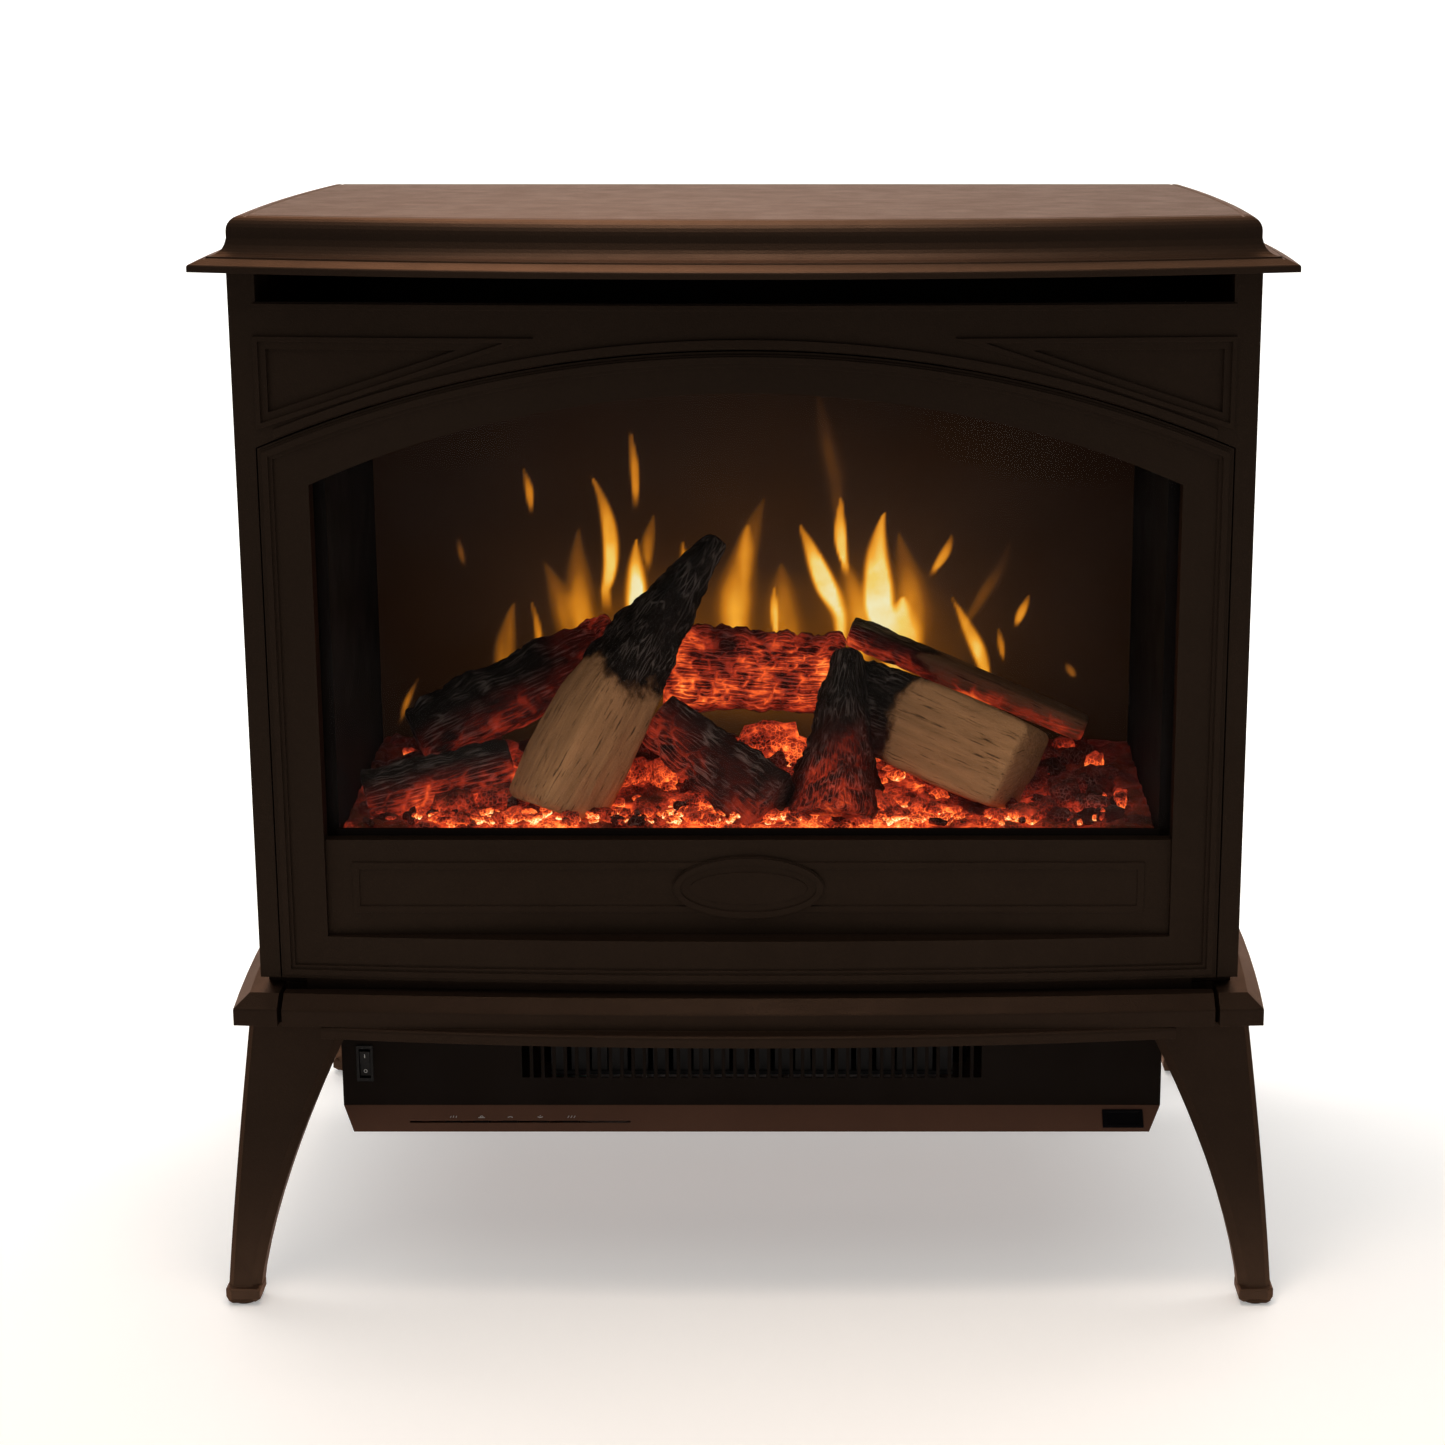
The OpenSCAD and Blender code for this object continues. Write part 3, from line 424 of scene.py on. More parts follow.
def make_finishes():
    return {
        "cast_paint": cast_paint("cast_paint", (0.022, 0.0136, 0.0092), (0.050, 0.034, 0.024), 0.47),
        "cast_front": cast_paint("cast_front", (0.0205, 0.0132, 0.0090), (0.038, 0.026, 0.020), 0.50),
        "black_sheet": sheet_paint("black_sheet", (0.0050, 0.0030, 0.0024), 0.66),
        "heater_sheet": sheet_paint("heater_sheet", (0.0088, 0.0050, 0.0032), 0.60),
        # ledge_paint is a paler brown than the casting, and painted light makes it paler still, for
        # the light on the ledge under the apron.
        "ledge_paint": sheet_paint("ledge_paint", (0.165, 0.080, 0.052), 0.45),
        "panel_steel": sheet_paint("panel_steel", (0.034, 0.028, 0.025), 0.55),
        "clear_glass": clear_glass("clear_glass"),
        "zinc_steel": bare_metal("zinc_steel", (0.52, 0.52, 0.51), 0.38),
        "bolt_black": sheet_paint("bolt_black", (0.022, 0.022, 0.022), 0.42),
        "rubber_black": moulded("rubber_black", (0.018, 0.018, 0.018), 0.8),
        "black_plastic": moulded("black_plastic", (0.0060, 0.0046, 0.0038), 0.5),
        "window_plastic": moulded("window_plastic", (0.008, 0.007, 0.008), 0.12, 300),
        "white_plastic": moulded("white_plastic", (0.72, 0.71, 0.67), 0.5),
        "board_green": circuit_board("board_green", (0.016, 0.10, 0.042)),
        "bright_aluminium": bare_metal("bright_aluminium", (0.70, 0.70, 0.70), 0.34),
        "ceramic": moulded("ceramic", (0.022, 0.020, 0.019), 0.8, 700),
        "log_pale": burnt_wood("log_pale", (0.60, 0.315, 0.145), (0.40, 0.05, 0.02)),
        "log_char": burnt_wood("log_char", (0.30, 0.16, 0.08), (0.25, 0.025, 0.010)),
        "log_red": burnt_wood("log_red", (0.10, 0.035, 0.018), (0.34, 0.040, 0.012), 1.35),
        "ember_resin": burnt_wood("ember_resin", (0.050, 0.013, 0.007), (0.40, 0.05, 0.015), 1.7,
                                  grained=False),
        "screen_tint": flame_picture_material(),
    }


# ---------------------------------------------------------------- small mesh helpers


def store(mesh, name, values):
    """Stores one value for each point of a mesh, for the materials to read."""
    layer = mesh.attributes.new(name, "FLOAT", "POINT")
    layer.data.foreach_set("value", values)


def clamp(value, low=0.0, high=1.0):
    return max(low, min(high, value))


def step(value, low, high):
    """Smooth step from 0 at low to 1 at high."""
    t = clamp((value - low) / (high - low))
    return t * t * (3 - 2 * t)


def worley(point):
    """Distance from the nearest cell wall, in cells: 0 on the wall."""
    near = noise.voronoi(point)[0]
    return near[1] - near[0]


def grid_faces(columns, rows):
    """Quads over a grid of points, listed row by row."""
    row = columns + 1
    return [(j * row + i, j * row + i + 1, (j + 1) * row + i + 1, (j + 1) * row + i)
            for j in range(rows) for i in range(columns)]


def close_behind(mesh, axis, level):
    """Draws the rim of an open sheet along an axis to one level, and closes it there."""
    edit = bmesh.new()
    edit.from_mesh(mesh)
    rim = [edge for edge in edit.edges if edge.is_boundary]
    made = bmesh.ops.extrude_edge_only(edit, edges=rim)
    for v in made["geom"]:
        if isinstance(v, bmesh.types.BMVert):
            v.co[axis] = level
    bmesh.ops.holes_fill(edit, edges=[edge for edge in edit.edges if edge.is_boundary])
    bmesh.ops.recalc_face_normals(edit, faces=edit.faces)
    edit.to_mesh(mesh)
    edit.free()


# ---------------------------------------------------------------- logs

END_RING = 1.5 * MM         # how near a log's furthest point its end ring lies
MASKS = ("char", "glow", "crack")
ALL_CHAR = (-1.0, -0.9)
ALWAYS = (2, 3)


def log_axis(node):
    """The two ends and radii of a tapered CAD log, from its end rings."""
    points = [v.co.copy() for v in NODES[node].data.vertices]
    centre = sum(points, Vector()) / len(points)
    far = max(points, key=lambda p: (p - centre).length)
    along = (far - centre).normalized()
    for _ in range(30):
        spread = Vector()
        for p in points:
            spread += (p - centre) * (p - centre).dot(along)
        along = spread.normalized()
    reach = [(p - centre).dot(along) for p in points]
    ends = []
    for limit in (min(reach), max(reach)):
        ring = [p for p, r in zip(points, reach) if abs(r - limit) < END_RING]
        middle = sum(ring, Vector()) / len(ring)
        radius = max((p - middle).length for p in ring)
        ends.append((middle, radius))
    return ends


def wedge(angle, corners, softness):
    """Radius of a rounded polygon whose flat sides face the given angles."""
    best = min(1 / max(0.2, math.cos(angle - math.radians(c))) for c in corners)
    return best * (1 - softness) + softness


class Log:
    """One log of the set: its form, and masks for char, glow and cracks.

    t runs from 0 to 1 along the log, and a is the angle round it.
    """

    rings, spokes = 110, 84     # steps along the log and round it
    softness = 0.25             # 0 splits it into flat sides, 1 makes it round
    taper = (1, 1, 1)           # thickness at the start, the middle and the end
    bend = (0, 0)               # metres sideways and up at the middle
    longer = (0, 0)             # metres added at the start and the end
    oval = (1, 1)               # width and height across it
    knobs = 0.06                # height of the lumps, in radii
    cells = 70                  # char cells in a metre
    cut = (0, 0)                # slant of the two sawn ends, in radii
    char = (0.4, 0.5)           # t where the char begins and where it is whole
    glow = 0.5
    glow_from = (0, 0, -1)      # the side that glows
    glow_span = (0.0, 0.9)      # t where the glow begins to fade and where it is gone
    hot_end = None              # t where the end begins to glow all round and where it does

    def __init__(self, node, slot, flats, flip=False, **form):
        self.node, self.slot, self.flats = node, slot, flats
        for name, value in form.items():
            setattr(self, name, value)
        ends = log_axis(node)
        if (ends[0][0].z > ends[1][0].z) != flip:
            ends.reverse()
        (self.start, self.r0), (self.end, self.r1) = ends
        way = (self.end - self.start).normalized()
        self.start = self.start - way * self.longer[0]
        self.end = self.end + way * self.longer[1]
        self.make()

    def make(self):
        along = self.end - self.start
        length = along.length
        along = along / length
        up = Vector((0, 0, 1)) - along * along.z
        up.normalize()
        side = along.cross(up)
        seed = Vector((hash_of(self.node), 3.1, 7.7))
        heat_way = Vector(self.glow_from).normalized()
        verts, char, glow, crack, fibre = [], [], [], [], []
        for i in range(self.rings + 1):
            t = i / self.rings
            centre_shift = math.sin(math.pi * t)
            centre = self.start + along * (t * length)
            centre += side * (self.bend[0] * centre_shift) + up * (self.bend[1] * centre_shift)
            thickness = (self.r0 + (self.r1 - self.r0) * t) * bezier(self.taper, t)
            cap = min(1.0, math.sqrt(clamp(min(t, 1 - t) * self.rings / 2.2)) * 0.12 + 0.88)
            for j in range(self.spokes):
                a = 2 * math.pi * j / self.spokes
                out = side * math.cos(a) * self.oval[0] + up * math.sin(a) * self.oval[1]
                radius = thickness * cap * wedge(a, self.flats, self.softness)
                p = centre + out * radius
                burnt = self.burn(t, a, p)
                cell_point = Vector((p.dot(side), p.dot(up), p.dot(along) * 0.55)) * self.cells
                wall = worley(cell_point + seed)
                swell = self.relief(t, a, p, seed, burnt, wall)
                q = centre + out * (radius * (1 + swell))
                q += along * (self.slant(t, a) * radius)
                verts.append(q)
                facing = clamp(0.5 + 0.5 * out.dot(heat_way))
                heat = self.heat(t, facing) * (0.7 + 0.6 * noise.noise(p * 24 + seed))
                char.append(burnt)
                glow.append(clamp(heat))
                crack.append(wall)
                fibre.append(Vector((p.dot(side), p.dot(up), p.dot(along) * 0.06)))
        faces = []
        for i in range(self.rings):
            for j in range(self.spokes):
                k = (j + 1) % self.spokes
                a, b = i * self.spokes, (i + 1) * self.spokes
                faces.append((a + j, a + k, b + k, b + j))
        for ring in (0, self.rings):
            self.close_end(ring, verts, faces, (char, glow, crack), fibre, along)
        mesh = bpy.data.meshes.new(self.node + "_form")
        mesh.from_pydata(verts, [], faces)
        for name, values in zip(MASKS, (char, glow, crack)):
            store(mesh, name, values)
        layer = mesh.attributes.new("fibre", "FLOAT_VECTOR", "POINT")
        layer.data.foreach_set("vector", [c for v in fibre for c in v])
        mesh.materials.append(FINISH[self.slot])
        mesh.shade_smooth()
        obj = add_object(self.node + "_form", mesh)
        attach(obj, "stove")
        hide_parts(self.node)

    def burn(self, t, a, p):
        """How charred the log is: 0 is bare wood and 1 is black."""
        low, high = self.char
        ragged = 0.10 * noise.noise(p * 30) + 0.05 * math.sin(a * 3)
        if low <= high:
            return step(t + ragged, low, high)
        return 1 - step(t + ragged, high, low)

    def relief(self, t, a, p, seed, burnt, wall):
        """Height of the surface, in radii: lumps, cracked char where burnt, grain where bare."""
        lump = noise.noise(p * 38 + seed) * 0.6 + noise.noise(p * 90 + seed) * 0.3
        fine = noise.noise(p * 260 + seed)
        swell = self.knobs * lump * (0.35 + burnt)
        swell -= burnt * 0.07 * clamp(1 - wall / 0.22)
        swell += burnt * 0.035 * fine
        streak = noise.noise(Vector((math.cos(a) * 9, math.sin(a) * 9, t * 5)) + seed)
        streak2 = noise.noise(Vector((math.cos(a) * 26, math.sin(a) * 26, t * 9)) + seed)
        lines = clamp(0.5 + 0.55 * streak + 0.5 * streak2)
        return swell - (1 - burnt) * 0.035 * step(lines, 0.62, 0.85)

    def heat(self, t, facing):
        """Glow of the side that faces the heat, and of an end that is hot all round."""
        hot = step(facing, 0.25, 0.95) * self.glow
        hot *= 1 - step(t, *self.glow_span)
        if self.hot_end:
            hot += self.glow * step(t, *self.hot_end)
        return hot

    def slant(self, t, a):
        """Tilts a cut end: only the rings near it lean."""
        near, far = self.cut
        return (near * (1 - t) ** 6 + far * t ** 6) * math.sin(a)

    def close_end(self, ring, verts, faces, masks, fibre, along):
        """Closes an end with shrinking rings, so that the cut face has its own relief."""
        first = ring * self.spokes
        rim = [verts[first + j] for j in range(self.spokes)]
        middle = sum(rim, Vector()) / len(rim)
        sign = -1 if ring == 0 else 1
        last = first
        steps = 7
        for s in range(1, steps):
            start = len(verts)
            share = 1 - s / steps
            for j in range(self.spokes):
                p = middle + (rim[j] - middle) * share
                p += along * sign * 0.0012 * noise.noise(p * 160)
                verts.append(p)
                for mask in masks:
                    mask.append(mask[first + j])
                fibre.append(fibre[first + j] * share + fibre[first] * (1 - share))
            for j in range(self.spokes):
                k = (j + 1) % self.spokes
                faces.append((last + j, last + k, start + k, start + j))
            last = start
        tip = len(verts)
        verts.append(middle)
        fibre.append(fibre[first])
        for mask in masks:
            mask.append(mask[last])
        for j in range(self.spokes):
            k = (j + 1) % self.spokes
            faces.append((last + j, last + k, tip))


def hash_of(name):
    """A fixed number for each name, to set the noise of one log apart from the others'."""
    return sum(ord(c) * (i + 1) for i, c in enumerate(name)) % 97


def bezier(values, t):
    """Quadratic blend of three values along the log."""
    a, b, c = values
    return a * (1 - t) ** 2 + 2 * b * t * (1 - t) + c * t * t


def make_logs():
    Log("log_leaning", "log_pale", (10, 95, 185, 275), char=(0.36, 0.54), glow=0.30,
        taper=(1.00, 1.62, 0.50), bend=(-0.004, 0.008), cut=(-0.25, 0), knobs=0.12,
        glow_span=(0.0, 0.10), cells=85, softness=0.35, longer=(0.013, 0.006))
    Log("log_split", "log_pale", (30, 110, 205, 290), flip=True, char=(0.46, 0.20), glow=0.25,
        taper=(1.06, 1.22, 0.95), knobs=0.035, softness=0.10, glow_span=(0.5, 1.2), rings=100,
        longer=(0.016, 0.0), oval=(1.0, 1.12))
    Log("log_thin", "log_char", (0, 80, 170, 260), flip=True, char=(0.42, 0.24), glow=0.85,
        taper=(0.95, 0.80, 0.62), softness=0.4, knobs=0.14, glow_from=(0, -0.3, -1),
        glow_span=ALWAYS, oval=(1.0, 0.72))
    Log("log_upright", "log_char", (20, 130, 250), char=ALL_CHAR, glow=0.78, knobs=0.16,
        taper=(1.30, 0.95, 0.62), softness=0.5, glow_from=(0, -1, -0.2), glow_span=(0.05, 0.72),
        rings=100, longer=(0.012, 0.004), cells=120)
    Log("log_left", "log_char", (45, 165, 285), char=ALL_CHAR, glow=0.42, knobs=0.14,
        taper=(0.8, 1.25, 1.1), softness=0.5, glow_from=(0, -0.5, -1), glow_span=ALWAYS,
        hot_end=(0.60, 1.0), longer=(0.004, 0.012))
    Log("log_back", "log_red", (20, 140, 260), char=ALL_CHAR, glow=1.0, knobs=0.15,
        softness=0.6, glow_from=(0, -1, 0.2), glow_span=ALWAYS, cells=110, rings=100)
    Log("log_centre", "log_red", (30, 150, 270), char=ALL_CHAR, glow=0.40, knobs=0.12,
        softness=0.5, glow_from=(0, -0.8, -0.5), glow_span=ALWAYS, rings=90,
        longer=(0.014, 0.006))
    Log("log_low", "log_red", (30, 150, 270), char=ALL_CHAR, glow=0.62, knobs=0.2,
        softness=0.6, glow_from=(0, -0.6, -0.8), glow_span=ALWAYS, rings=90)


# ---------------------------------------------------------------- ember bed


BED_LOW, BED_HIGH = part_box("ember_bed")


def bed_height(y):
    """Height of the CAD ember bed's sloping top at depth y."""
    front_top = BED_LOW.z + 0.005
    return front_top + (BED_HIGH.z - front_top) * (y - BED_LOW.y) / (BED_HIGH.y - BED_LOW.y)


def heat_at(x, y):
    """How hot the bed is: bright along the middle front, dark at the right and the back."""
    across = step(x, -0.33, -0.16) * (1 - 0.85 * step(x, 0.15, 0.25))
    front = 1 - 0.5 * step(y, -0.12, 0.0)
    patch = 0.62 + 0.75 * noise.noise(Vector((x * 30, y * 30, 1.7)))
    return clamp((0.25 + 0.75 * across) * front * patch)


def make_ember_bed():
    """The bed's lumpy surface, closed down to the underside of the CAD bed."""
    low, high = BED_LOW, BED_HIGH
    columns, rows = 200, 72
    sunk = 3.5 * MM
    verts, char, glow, crack = [], [], [], []
    for j in range(rows + 1):
        y = low.y + (high.y - low.y) * j / rows
        for i in range(columns + 1):
            x = low.x + (high.x - low.x) * i / columns
            p = Vector((x, y, 0))
            wall = worley(p * 62)
            rise = 0.0045 * (1 - clamp(1 - wall / 0.5) ** 2) + 0.003 * noise.noise(p * 60)
            verts.append((x, y, bed_height(y) - sunk + rise))
            char.append(clamp(0.4 + 0.6 * noise.noise(p * 30 + Vector((4, 2, 0)))))
            glow.append(heat_at(x, y))
            crack.append(wall)
    mesh = bpy.data.meshes.new("ember_base")
    mesh.from_pydata(verts, [], grid_faces(columns, rows))
    for name, values in zip(MASKS, (char, glow, crack)):
        store(mesh, name, values)
    close_behind(mesh, 2, low.z)
    mesh.materials.append(FINISH["ember_resin"])
    mesh.shade_smooth()
    base = add_object("ember_base", mesh)
    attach(base, "stove")
    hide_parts("ember_bed")


def coal(edit, layers, at, size, turn, char, glow):
    """One lump of coal or ember, added to a shared bmesh."""
    fineness = 3 if size[0] > 5 * MM else 2
    made = bmesh.ops.create_icosphere(edit, subdivisions=fineness, radius=1.0)
    seed = Vector((at[0] * 91, at[1] * 57, at[2] * 33))
    spin = Matrix.Rotation(turn, 3, "Z") @ Matrix.Rotation(turn * 1.7, 3, "X")
    for v in made["verts"]:
        n = v.co.copy()
        block = 1 / max(abs(n.x), abs(n.y), abs(n.z)) ** 0.55
        wall = worley(n * 1.9 + seed)
        lump = 1 + 0.30 * noise.noise(n * 1.6 + seed) + 0.12 * noise.noise(n * 5 + seed)
        lump -= 0.10 * clamp(1 - wall / 0.3)
        shape = Vector((n.x * size[0], n.y * size[1], n.z * size[2])) * block * lump * 0.8
        v.co = Vector(at) + spin @ shape
        v[layers["char"]] = clamp(char + 0.3 * noise.noise(n * 2 + seed))
        under = clamp(0.55 - 0.6 * (v.co.z - at[2]) / size[2])
        v[layers["glow"]] = clamp(glow * (0.40 + 0.7 * under), 0, 1.4)
        v[layers["crack"]] = wall


# Larger pieces in the bed, in millimetres: place (x, y), size, turn, char and glow.
CHUNKS = [
    ((12, -20), (34, 16, 27), 0.2, 0.10, 1.15), ((40, -28), (20, 12, 23), 1.1, 0.15, 1.2),
    ((-14, -34), (18, 12, 19), 2.0, 0.20, 1.1), ((-98, -64), (22, 13, 14), 0.7, 0.35, 0.85),
    ((-70, -70), (16, 12, 16), 1.9, 0.30, 0.95), ((-26, -118), (34, 8, 7), -0.25, 0.25, 0.95),
    ((14, -128), (30, 9, 7), 0.35, 0.20, 1.0), ((-148, -124), (20, 13, 11), 0.5, 0.55, 0.75),
    ((-186, -116), (30, 14, 11), 0.3, 0.60, 0.65), ((-228, -128), (24, 13, 8), 0.6, 0.55, 0.6),
    ((-262, -100), (22, 15, 12), 1.4, 0.95, 0.25), ((98, -122), (20, 11, 9), 2.2, 0.35, 0.9),
    ((132, -132), (18, 10, 8), 0.9, 0.30, 0.95), ((214, -90), (26, 15, 13), 0.4, 1.0, 0.30),
    ((242, -112), (24, 15, 15), 1.7, 1.0, 0.35), ((268, -84), (24, 15, 14), 0.2, 1.0, 0.30),
    ((262, -136), (18, 12, 10), 2.6, 0.9, 0.55), ((226, -138), (15, 10, 9), 1.2, 0.95, 0.45),
]


def make_coals():
    """The chunks, then loose coals over the whole bed, then small crumbs along its front."""
    low, high = BED_LOW, BED_HIGH
    coal_count, crumb_count, margin = 230, 150, 16 * MM
    edit = bmesh.new()
    layers = {name: edit.verts.layers.float.new(name) for name in MASKS}
    for (x, y), size, turn, char, glow in CHUNKS:
        size = tuple(v * MM for v in size)
        y = max(y * MM, low.y + max(size[:2]) * 1.1)
        coal(edit, layers, (x * MM, y, bed_height(y) + size[2] * 0.5), size, turn, char, glow)
    for _ in range(coal_count):
        share = random.random() ** 1.4
        y = low.y + 0.008 + (high.y - low.y - margin) * share
        x = random.uniform(low.x + margin, high.x - margin)
        span = random.uniform(0.0045, 0.0115) * (0.8 + 0.6 * share)
        size = (span * random.uniform(0.9, 1.9), span * random.uniform(0.7, 1.2),
                span * random.uniform(0.5, 0.9))
        z = bed_height(y) + size[2] * random.uniform(-0.1, 0.45)
        y = max(y, low.y + max(size) * 1.05)
        heat = heat_at(x, y)
        hot = random.random() < heat * 1.3
        coal(edit, layers, (x, y, z), size, random.uniform(0, 6.28),
             random.uniform(0.0, 0.30) if hot else random.uniform(0.7, 1.0),
             random.uniform(0.75, 1.25) if hot else random.uniform(0.1, 0.5) * (0.3 + heat))
    for _ in range(crumb_count):
        x = random.uniform(low.x + margin, high.x - margin)
        y = low.y + random.uniform(0.006, 0.030)
        span = random.uniform(0.0020, 0.0050)
        size = (span * random.uniform(1.0, 2.4), span * random.uniform(0.6, 1.0),
                span * random.uniform(0.4, 0.9))
        bright = heat_at(x, y) > random.uniform(0.1, 0.7)
        coal(edit, layers, (x, y, bed_height(y) + span * random.uniform(0.2, 1.0)), size,
             random.uniform(0, 6.28), 0.0 if bright else 0.9,
             random.uniform(1.3, 2.0) if bright else random.uniform(0.2, 0.9))
    mesh = bpy.data.meshes.new("ember_coals")
    edit.to_mesh(mesh)
    edit.free()
    mesh.materials.append(FINISH["ember_resin"])
    mesh.shade_smooth()
    coals = add_object("ember_coals", mesh)
    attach(coals, "stove")


# ---------------------------------------------------------------- flame picture

# Each flame on the screen, in millimetres: foot (x, z), tip (x, z), width, bulge to the
# side, then its brightness and how soft its edge is.
FLAMES = [
    ((-181, 565), (-186, 597), 8, 1, 0.50, 0.5), ((-97, 574), (-99, 630), 9, 0, 0.62, 0.5),
    ((-121, 497), (-132, 592), 17, 10, 0.86, 0.5), ((-87, 520), (-82, 561), 12, -2, 0.34, 0.7),
    ((-99, 458), (-95, 540), 19, 0, 1.15, 0.8), ((-54, 497), (-60, 540), 8, 1, 0.70, 0.5),
    ((-128, 440), (-142, 550), 26, -7, 0.36, 0.8), ((-148, 446), (-171, 522), 32, 4, 0.28, 0.8),
    ((-203, 410), (-196, 488), 21, -5, 0.46, 0.8), ((-178, 436), (-185, 490), 8, 2, 0.48, 0.6),
    ((-292, 390), (-278, 424), 8, -2, 0.36, 0.7), ((-120, 436), (-124, 476), 32, 0, 0.55, 0.9),
    ((-16, 440), (-4, 552), 38, -5, 0.62, 0.9), ((-8, 505), (8, 574), 20, -4, 0.20, 0.8),
    ((18, 462), (15, 500), 8, 0, 0.62, 0.6), ((74, 520), (70, 575), 11, -1, 0.88, 0.4),
    ((62, 487), (36, 552), 19, 3, 0.98, 0.5), ((70, 440), (54, 530), 16, 5, 0.66, 0.8),
    ((110, 448), (106, 562), 25, -8, 1.15, 0.5), ((118, 432), (120, 492), 42, 0, 1.20, 0.9),
    ((147, 514), (162, 544), 11, 2, 0.58, 0.5), ((189, 424), (160, 491), 15, 5, 0.72, 0.5),
    ((215, 470), (224, 494), 10, -1, 0.56, 0.5), ((204, 441), (200, 466), 8, 0, 0.44, 0.7),
    ((261, 425), (255, 437), 11, 0, 0.34, 0.7), ((-235, 520), (-239, 542), 8, 0, 0.22, 0.7),
    ((67, 560), (50, 660), 22, 3, 0.13, 0.9), ((88, 440), (72, 526), 34, 4, 0.38, 0.9),
    ((130, 440), (118, 545), 36, 3, 0.34, 0.9), ((174, 470), (207, 538), 16, 4, 0.13, 0.9),
    ((-60, 440), (-70, 500), 30, 3, 0.24, 0.9), ((30, 436), (20, 520), 36, 0, 0.30, 0.9),
]


# The dim glow between the flames, in millimetres: middle (x, z), spread (x, z) and strength.
HAZE = [
    ((10, 500), (210, 130), 0.10), ((10, 430), (170, 70), 0.15), ((-110, 450), (60, 60), 0.10),
    ((110, 450), (60, 70), 0.14),
]


def flame_light(x, z, flame):
    """Brightness of one flame at a point of the screen: u runs up it from foot to tip."""
    (foot_x, foot_z), (tip_x, tip_z), width, bulge, bright, soft = flame
    u = (z - foot_z) / (tip_z - foot_z)
    if not -0.25 < u < 1:
        return 0.0
    v = clamp(u)
    middle = foot_x + (tip_x - foot_x) * u + bulge * 4 * v * (1 - v)
    waist = math.sin(math.pi * (0.16 + 0.84 * v)) ** 0.8 if v < 1 else 0
    half = max(0.6, 0.5 * width * waist)
    off = abs(x - middle) / half
    edge = (1 - step(off, 1 - soft, 1.15)) * (1 - 0.35 * min(1, off) ** 2)
    foot = step(u, -0.25, 0.12)
    tip = 1 - step(u, 0.35, 1.0) * 0.55
    return bright * edge * foot * tip * 1.08


def screen_light(x, z):
    """Brightness of the flame picture at a point of the screen, in millimetres."""
    flutter = noise.noise(Vector((x * 0.03, z * 0.016, 2.0))) * 3.5
    total = 0.0
    for flame in FLAMES:
        light = flame_light(x + flutter, z, flame)
        total = total + light * (1 - 0.55 * min(1, total))
    total *= 0.88 + 0.24 * noise.noise(Vector((x * 0.11, z * 0.035, 5.0)))
    haze = sum(strength * math.exp(-(((x - mx) / sx) ** 2) - ((z - mz) / sz) ** 2)
               for (mx, mz), (sx, sz), strength in HAZE)
    return clamp(total + haze)


def make_flame_picture():
    """The screen as a slab whose front carries the picture on a fine grid."""
    low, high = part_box("flame_screen")
    columns, rows = 308, 176
    verts, light = [], []
    for j in range(rows + 1):
        z = low.z + (high.z - low.z) * j / rows
        for i in range(columns + 1):
            x = low.x + (high.x - low.x) * i / columns
            verts.append((x, low.y, z))
            light.append(screen_light(x / MM, z / MM))
    mesh = bpy.data.meshes.new("flame_picture")
    mesh.from_pydata(verts, [], grid_faces(columns, rows))
    store(mesh, "picture", light)
    close_behind(mesh, 1, high.y)
    mesh.materials.append(FINISH["screen_tint"])
    picture = add_object("flame_picture", mesh)
    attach(picture, "stove")
    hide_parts("flame_screen")


# ---------------------------------------------------------------- printed marks


def facing_plane(node, start, direction):
    """Where a ray meets a CAD node: the point, two directions along the face, and its normal."""
    mesh = NODES[node].data
    tree = BVHTree.FromPolygons([v.co for v in mesh.vertices], [p.vertices for p in mesh.polygons])
    point, normal, _, _ = tree.ray_cast(Vector(start), Vector(direction))
    across = Vector((1, 0, 0))
    return point, across, normal.cross(across), normal


def print_marks(name, body, node, marks, width):
    """Thin raised strokes on a CAD face; marks are (start, direction, strokes in millimetres)."""
    edit = bmesh.new()
    thick = 0.12 * MM
    for start, direction, strokes in marks:
        point, across, up, out = facing_plane(node, start, direction)
        for stroke in strokes:
            for (ax, ay), (bx, by) in zip(stroke, stroke[1:]):
                a = point + (across * ax + up * ay) * MM
                b = point + (across * bx + up * by) * MM
                side = (b - a).cross(out).normalized() * (width / 2)
                corners = (a + side, a - side, b - side, b + side)
                low = [edit.verts.new(v - out * thick) for v in corners]
                top = [edit.verts.new(v + out * thick) for v in corners]
                edit.faces.new(top)
                for i in range(4):
                    k = (i + 1) % 4
                    edit.faces.new((low[i], low[k], top[k], top[i]))
                edit.faces.new(low[::-1])
    bmesh.ops.recalc_face_normals(edit, faces=edit.faces)
    mesh = bpy.data.meshes.new(name)
    edit.to_mesh(mesh)
    edit.free()
    mesh.materials.append(FINISH["white_plastic"])
    printed = add_object(name, mesh)
    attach(printed, body)


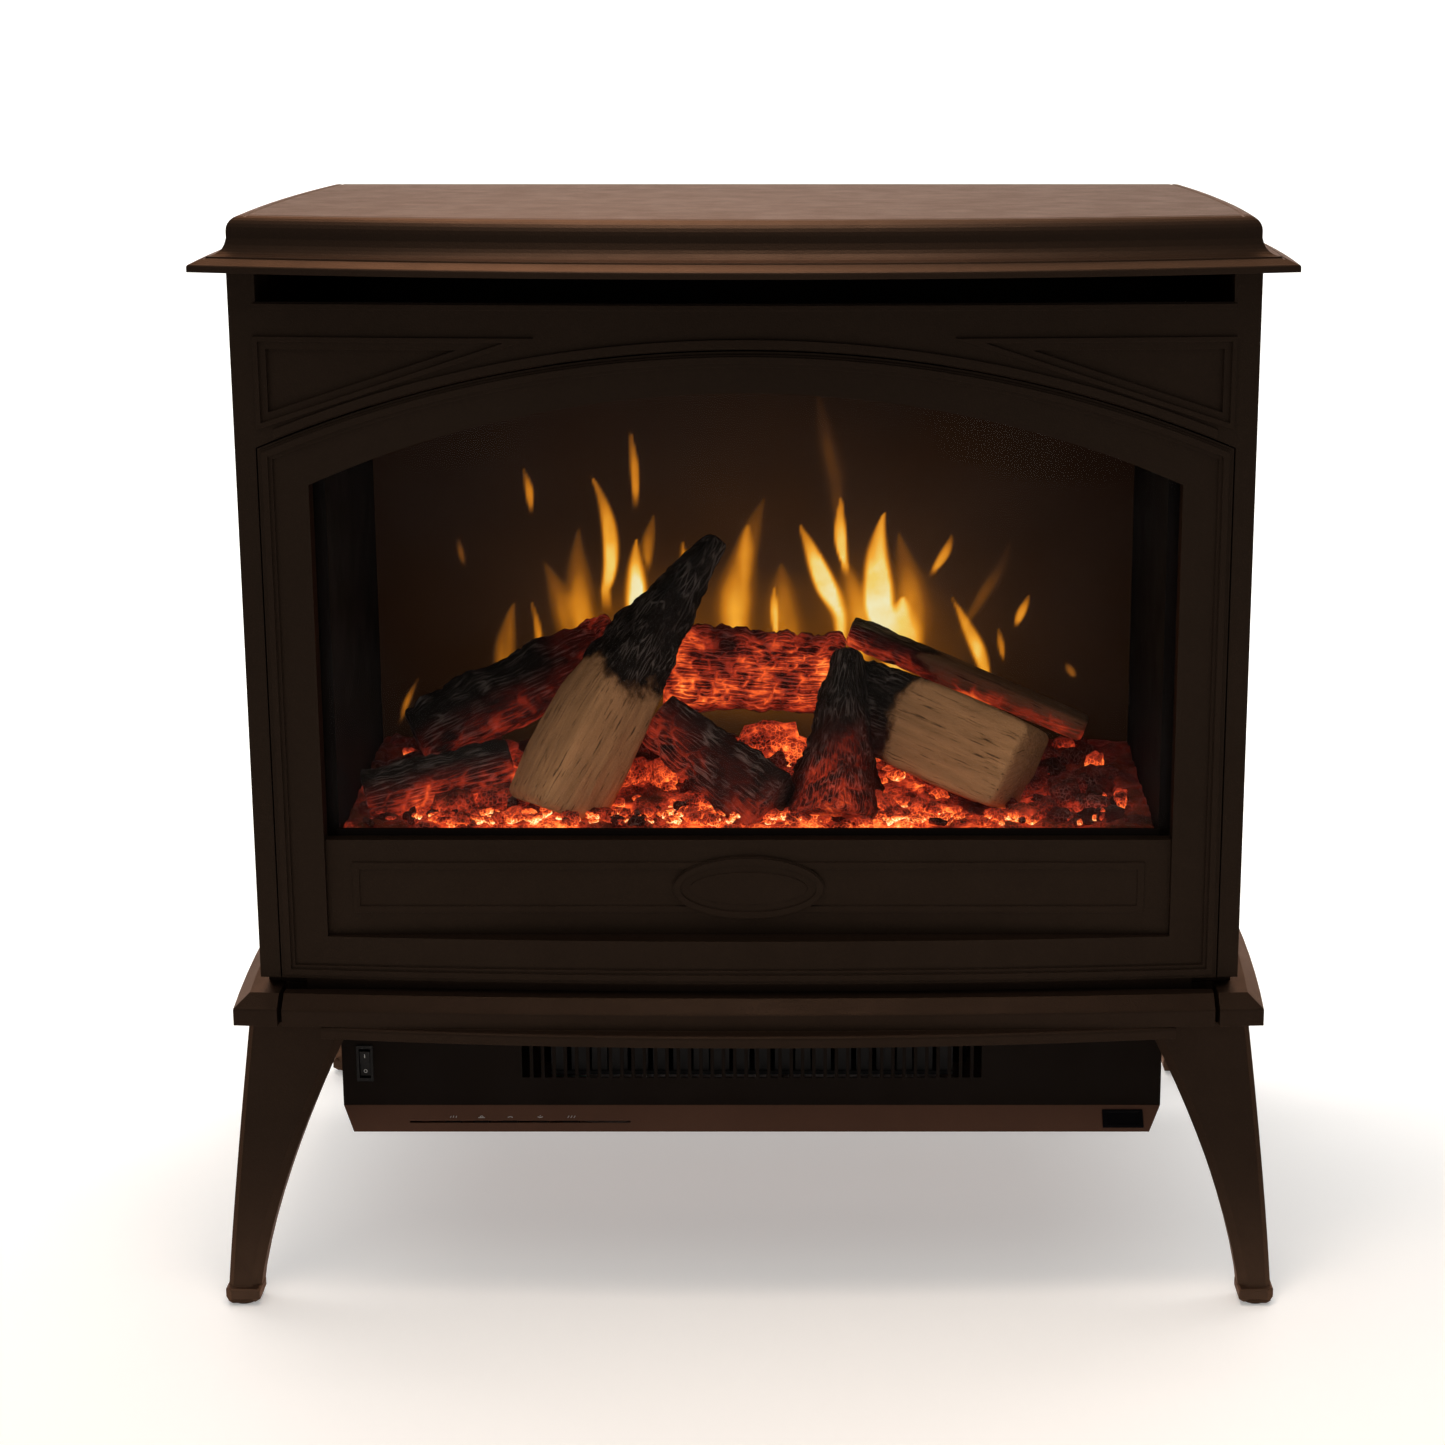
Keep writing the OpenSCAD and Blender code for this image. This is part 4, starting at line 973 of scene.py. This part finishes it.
# The sign over each push key, as strokes in millimetres.
KEY_SIGNS = [
    [[(-2.4, -0.6), (-2.0, 0.7)], [(-0.3, -0.6), (0.1, 1.0)], [(1.9, -0.6), (2.3, 0.7)]],
    [[(-2.6, -0.6), (2.6, -0.6)], [(-1.3, 0.1), (0, 1.0), (1.3, 0.1)]],
    [[(-2.0, -0.4), (0, 0.3), (2.0, -0.4)]],
    [[(-2.0, 0.1), (0, -0.5), (2.0, 0.1)], [(-0.5, 0.9), (0.5, 0.9)]],
    [[(-2.9, -0.8), (-1.9, 1.0)], [(-0.5, -0.8), (0.5, 1.0)], [(1.9, -0.8), (2.9, 1.0)]],
]


def make_marks():
    """On and off marks on the rocker, and one small sign on the ledge over each push key."""
    stand_off = 10 * MM
    low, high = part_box("power_rocker")
    middle, front, tall = (low.x + high.x) / 2, low.y - stand_off, high.z - low.z
    bar = [(0, -1.7), (0, 1.7)]
    ring = [(1.25 * math.cos(math.radians(a)), 1.25 * math.sin(math.radians(a)))
            for a in range(0, 361, 24)]
    print_marks("rocker_marks", "rocker", "power_rocker", [
        ((middle, front, high.z - tall * 0.20), (0, 1, 0), [bar]),
        ((middle, front, low.z + tall * 0.20), (0, 1, 0), [ring]),
    ], 0.5 * MM)
    up_slope = 2.6 * MM
    into_slope = Vector((0, 1, -1))
    marks = []
    for number, strokes in enumerate(KEY_SIGNS, 1):
        low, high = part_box(f"key_{number}")
        place = (low + high) / 2 + Vector((0, up_slope, up_slope))
        marks.append((place - into_slope * stand_off, into_slope.normalized(), strokes))
    print_marks("key_marks", "stove", "control_tray", marks, 0.55 * MM)


# ---------------------------------------------------------------- the whole model


def paint_cad_nodes():
    """Gives every CAD node the finish that its material slot names."""
    for name, obj in NODES.items():
        obj.data.materials.clear()
        obj.data.materials.append(FINISH[SLOT_OF[name]])


bpy.context.scene.view_settings.view_transform = "Standard"
make_camera()
FINISH = make_finishes()
make_floor()
make_lights()
paint_cad_nodes()
make_logs()
make_ember_bed()
make_coals()
make_flame_picture()
make_marks()
